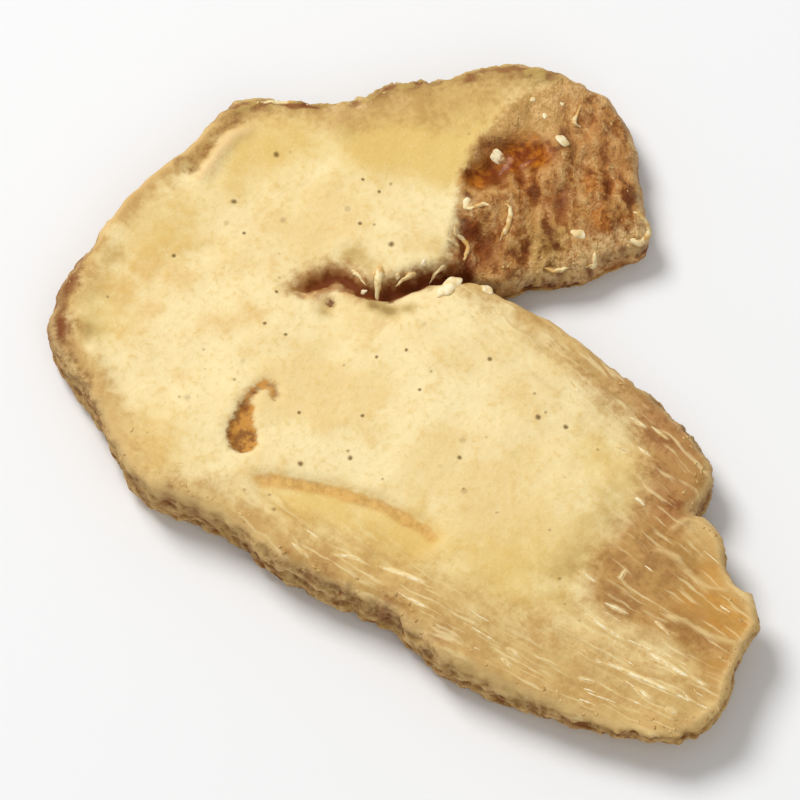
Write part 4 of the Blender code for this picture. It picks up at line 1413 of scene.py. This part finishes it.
def make_fibres(bed):
    rng = np.random.default_rng(9)
    loop = smooth_loop(OUTLINE, STEPS_PER_POINT)
    strands = []
    for path, half_width in PALE_FIBRES:
        points = laid(bed, path, 15, 0.5 * half_width, 0.02)
        if points:
            strands.append((points, spindle(half_width, 15)))
    wanted = len(strands) + LOOSE_FIBRES
    while len(strands) < wanted:
        lane = rng.choice([rng.uniform(-21, -10), rng.uniform(-14, 6)], p=[0.7, 0.3])
        path = fibre_path(rng.uniform(-6, 30), lane, rng.uniform(*FIBRE_LENGTHS) * rng.uniform(0.4, 1))
        half_width = rng.uniform(*FIBRE_HALF_WIDTHS)
        to_edge = follow(path[:, 0], path[:, 1], loop, closed=True)[0]
        frayed = fibre_ridges(path[:, 0], path[:, 1], to_edge).min()
        points = laid(bed, path, 11, 0.5 * half_width, 0.01)
        if points and frayed > 0.5:
            strands.append((points, spindle(half_width, 11)))
    mesh = strands_mesh("loose_fibres", strands, 0.05)
    mesh.materials.append(pale_skin_finish("dried_fibre", FLESH_DEEP, CREAM, 0.42))
    finished("loose_fibres", mesh)


FLOOR_SIZE = 4.0
SIGHT_DISTANCE = 1.0
SIGHT_AZIMUTH = 44
SIGHT_ELEVATION = 62
VIEW_WIDTH = 0.060
SENSOR_WIDTH = 36.0
AIM = Vector((-0.00453, -0.00535, 0.003))


def make_floor():
    plane = bmesh.new()
    bmesh.ops.create_grid(plane, x_segments=1, y_segments=1, size=FLOOR_SIZE / 2)
    mesh = bpy.data.meshes.new("floor")
    plane.to_mesh(mesh)
    plane.free()
    mesh.materials.append(plain_finish("pale_floor", 0.9, (0.9, 0.9, 0.9, 1)))
    floor = object_of("floor", mesh)


def direction(azimuth, elevation):
    """From the object towards a place at that bearing and height, in degrees. Azimuth 0 is the -Y side."""
    a, e = math.radians(azimuth), math.radians(elevation)
    return Vector((math.sin(a) * math.cos(e), -math.cos(a) * math.cos(e), math.sin(e)))


def make_camera():
    lens = bpy.data.cameras.new("camera")
    lens.sensor_width = SENSOR_WIDTH
    lens.lens = SENSOR_WIDTH * SIGHT_DISTANCE / VIEW_WIDTH
    lens.clip_start = 0.01
    lens.clip_end = 20
    camera = bpy.data.objects.new("camera", lens)
    back = direction(SIGHT_AZIMUTH, SIGHT_ELEVATION)
    camera.location = AIM + back * SIGHT_DISTANCE
    camera.rotation_euler = back.to_track_quat("Z", "Y").to_euler()
    bpy.context.scene.collection.objects.link(camera)
    bpy.context.scene.camera = camera


def make_light(name, azimuth, elevation, distance, size, watts):
    lamp = bpy.data.lights.new(name, "AREA")
    lamp.shape = "DISK"
    lamp.size = size
    lamp.energy = watts
    light = bpy.data.objects.new(name, lamp)
    towards = direction(azimuth, elevation)
    light.location = towards * distance
    light.rotation_euler = towards.to_track_quat("Z", "Y").to_euler()
    bpy.context.scene.collection.objects.link(light)


def make_lights():
    make_light("window", -90, 52, 0.9, 0.45, 6.0)
    make_light("fill", 60, 50, 1.0, 0.8, 1.5)
    world = bpy.data.worlds.new("pale_room")
    world.use_nodes = True
    room = world.node_tree.nodes["Background"]
    room.inputs["Color"].default_value = (1, 1, 1, 1)
    room.inputs["Strength"].default_value = 0.37
    bpy.context.scene.world = world
    bpy.context.scene.view_settings.view_transform = "Standard"


make_camera()
make_floor()
make_lights()
root_slice, slice_middle = make_slice()
slice_bed = Bed(root_slice, slice_middle)
make_curls(slice_bed)
lumps_piece("skin_flakes", FLAKES, slice_bed, 3, pale_skin_finish("flakes", FLESH_MID, CREAM, 0.5))
# The pale flake that stands for the glint in the amber hollow: painted highlight.
lumps_piece("glint_highlight_flake", [GLINT], slice_bed, 3, pale_skin_finish("painted_glint", MAUVE, CREAM, 0.2))
make_crumbs(slice_bed)
make_fibres(slice_bed)
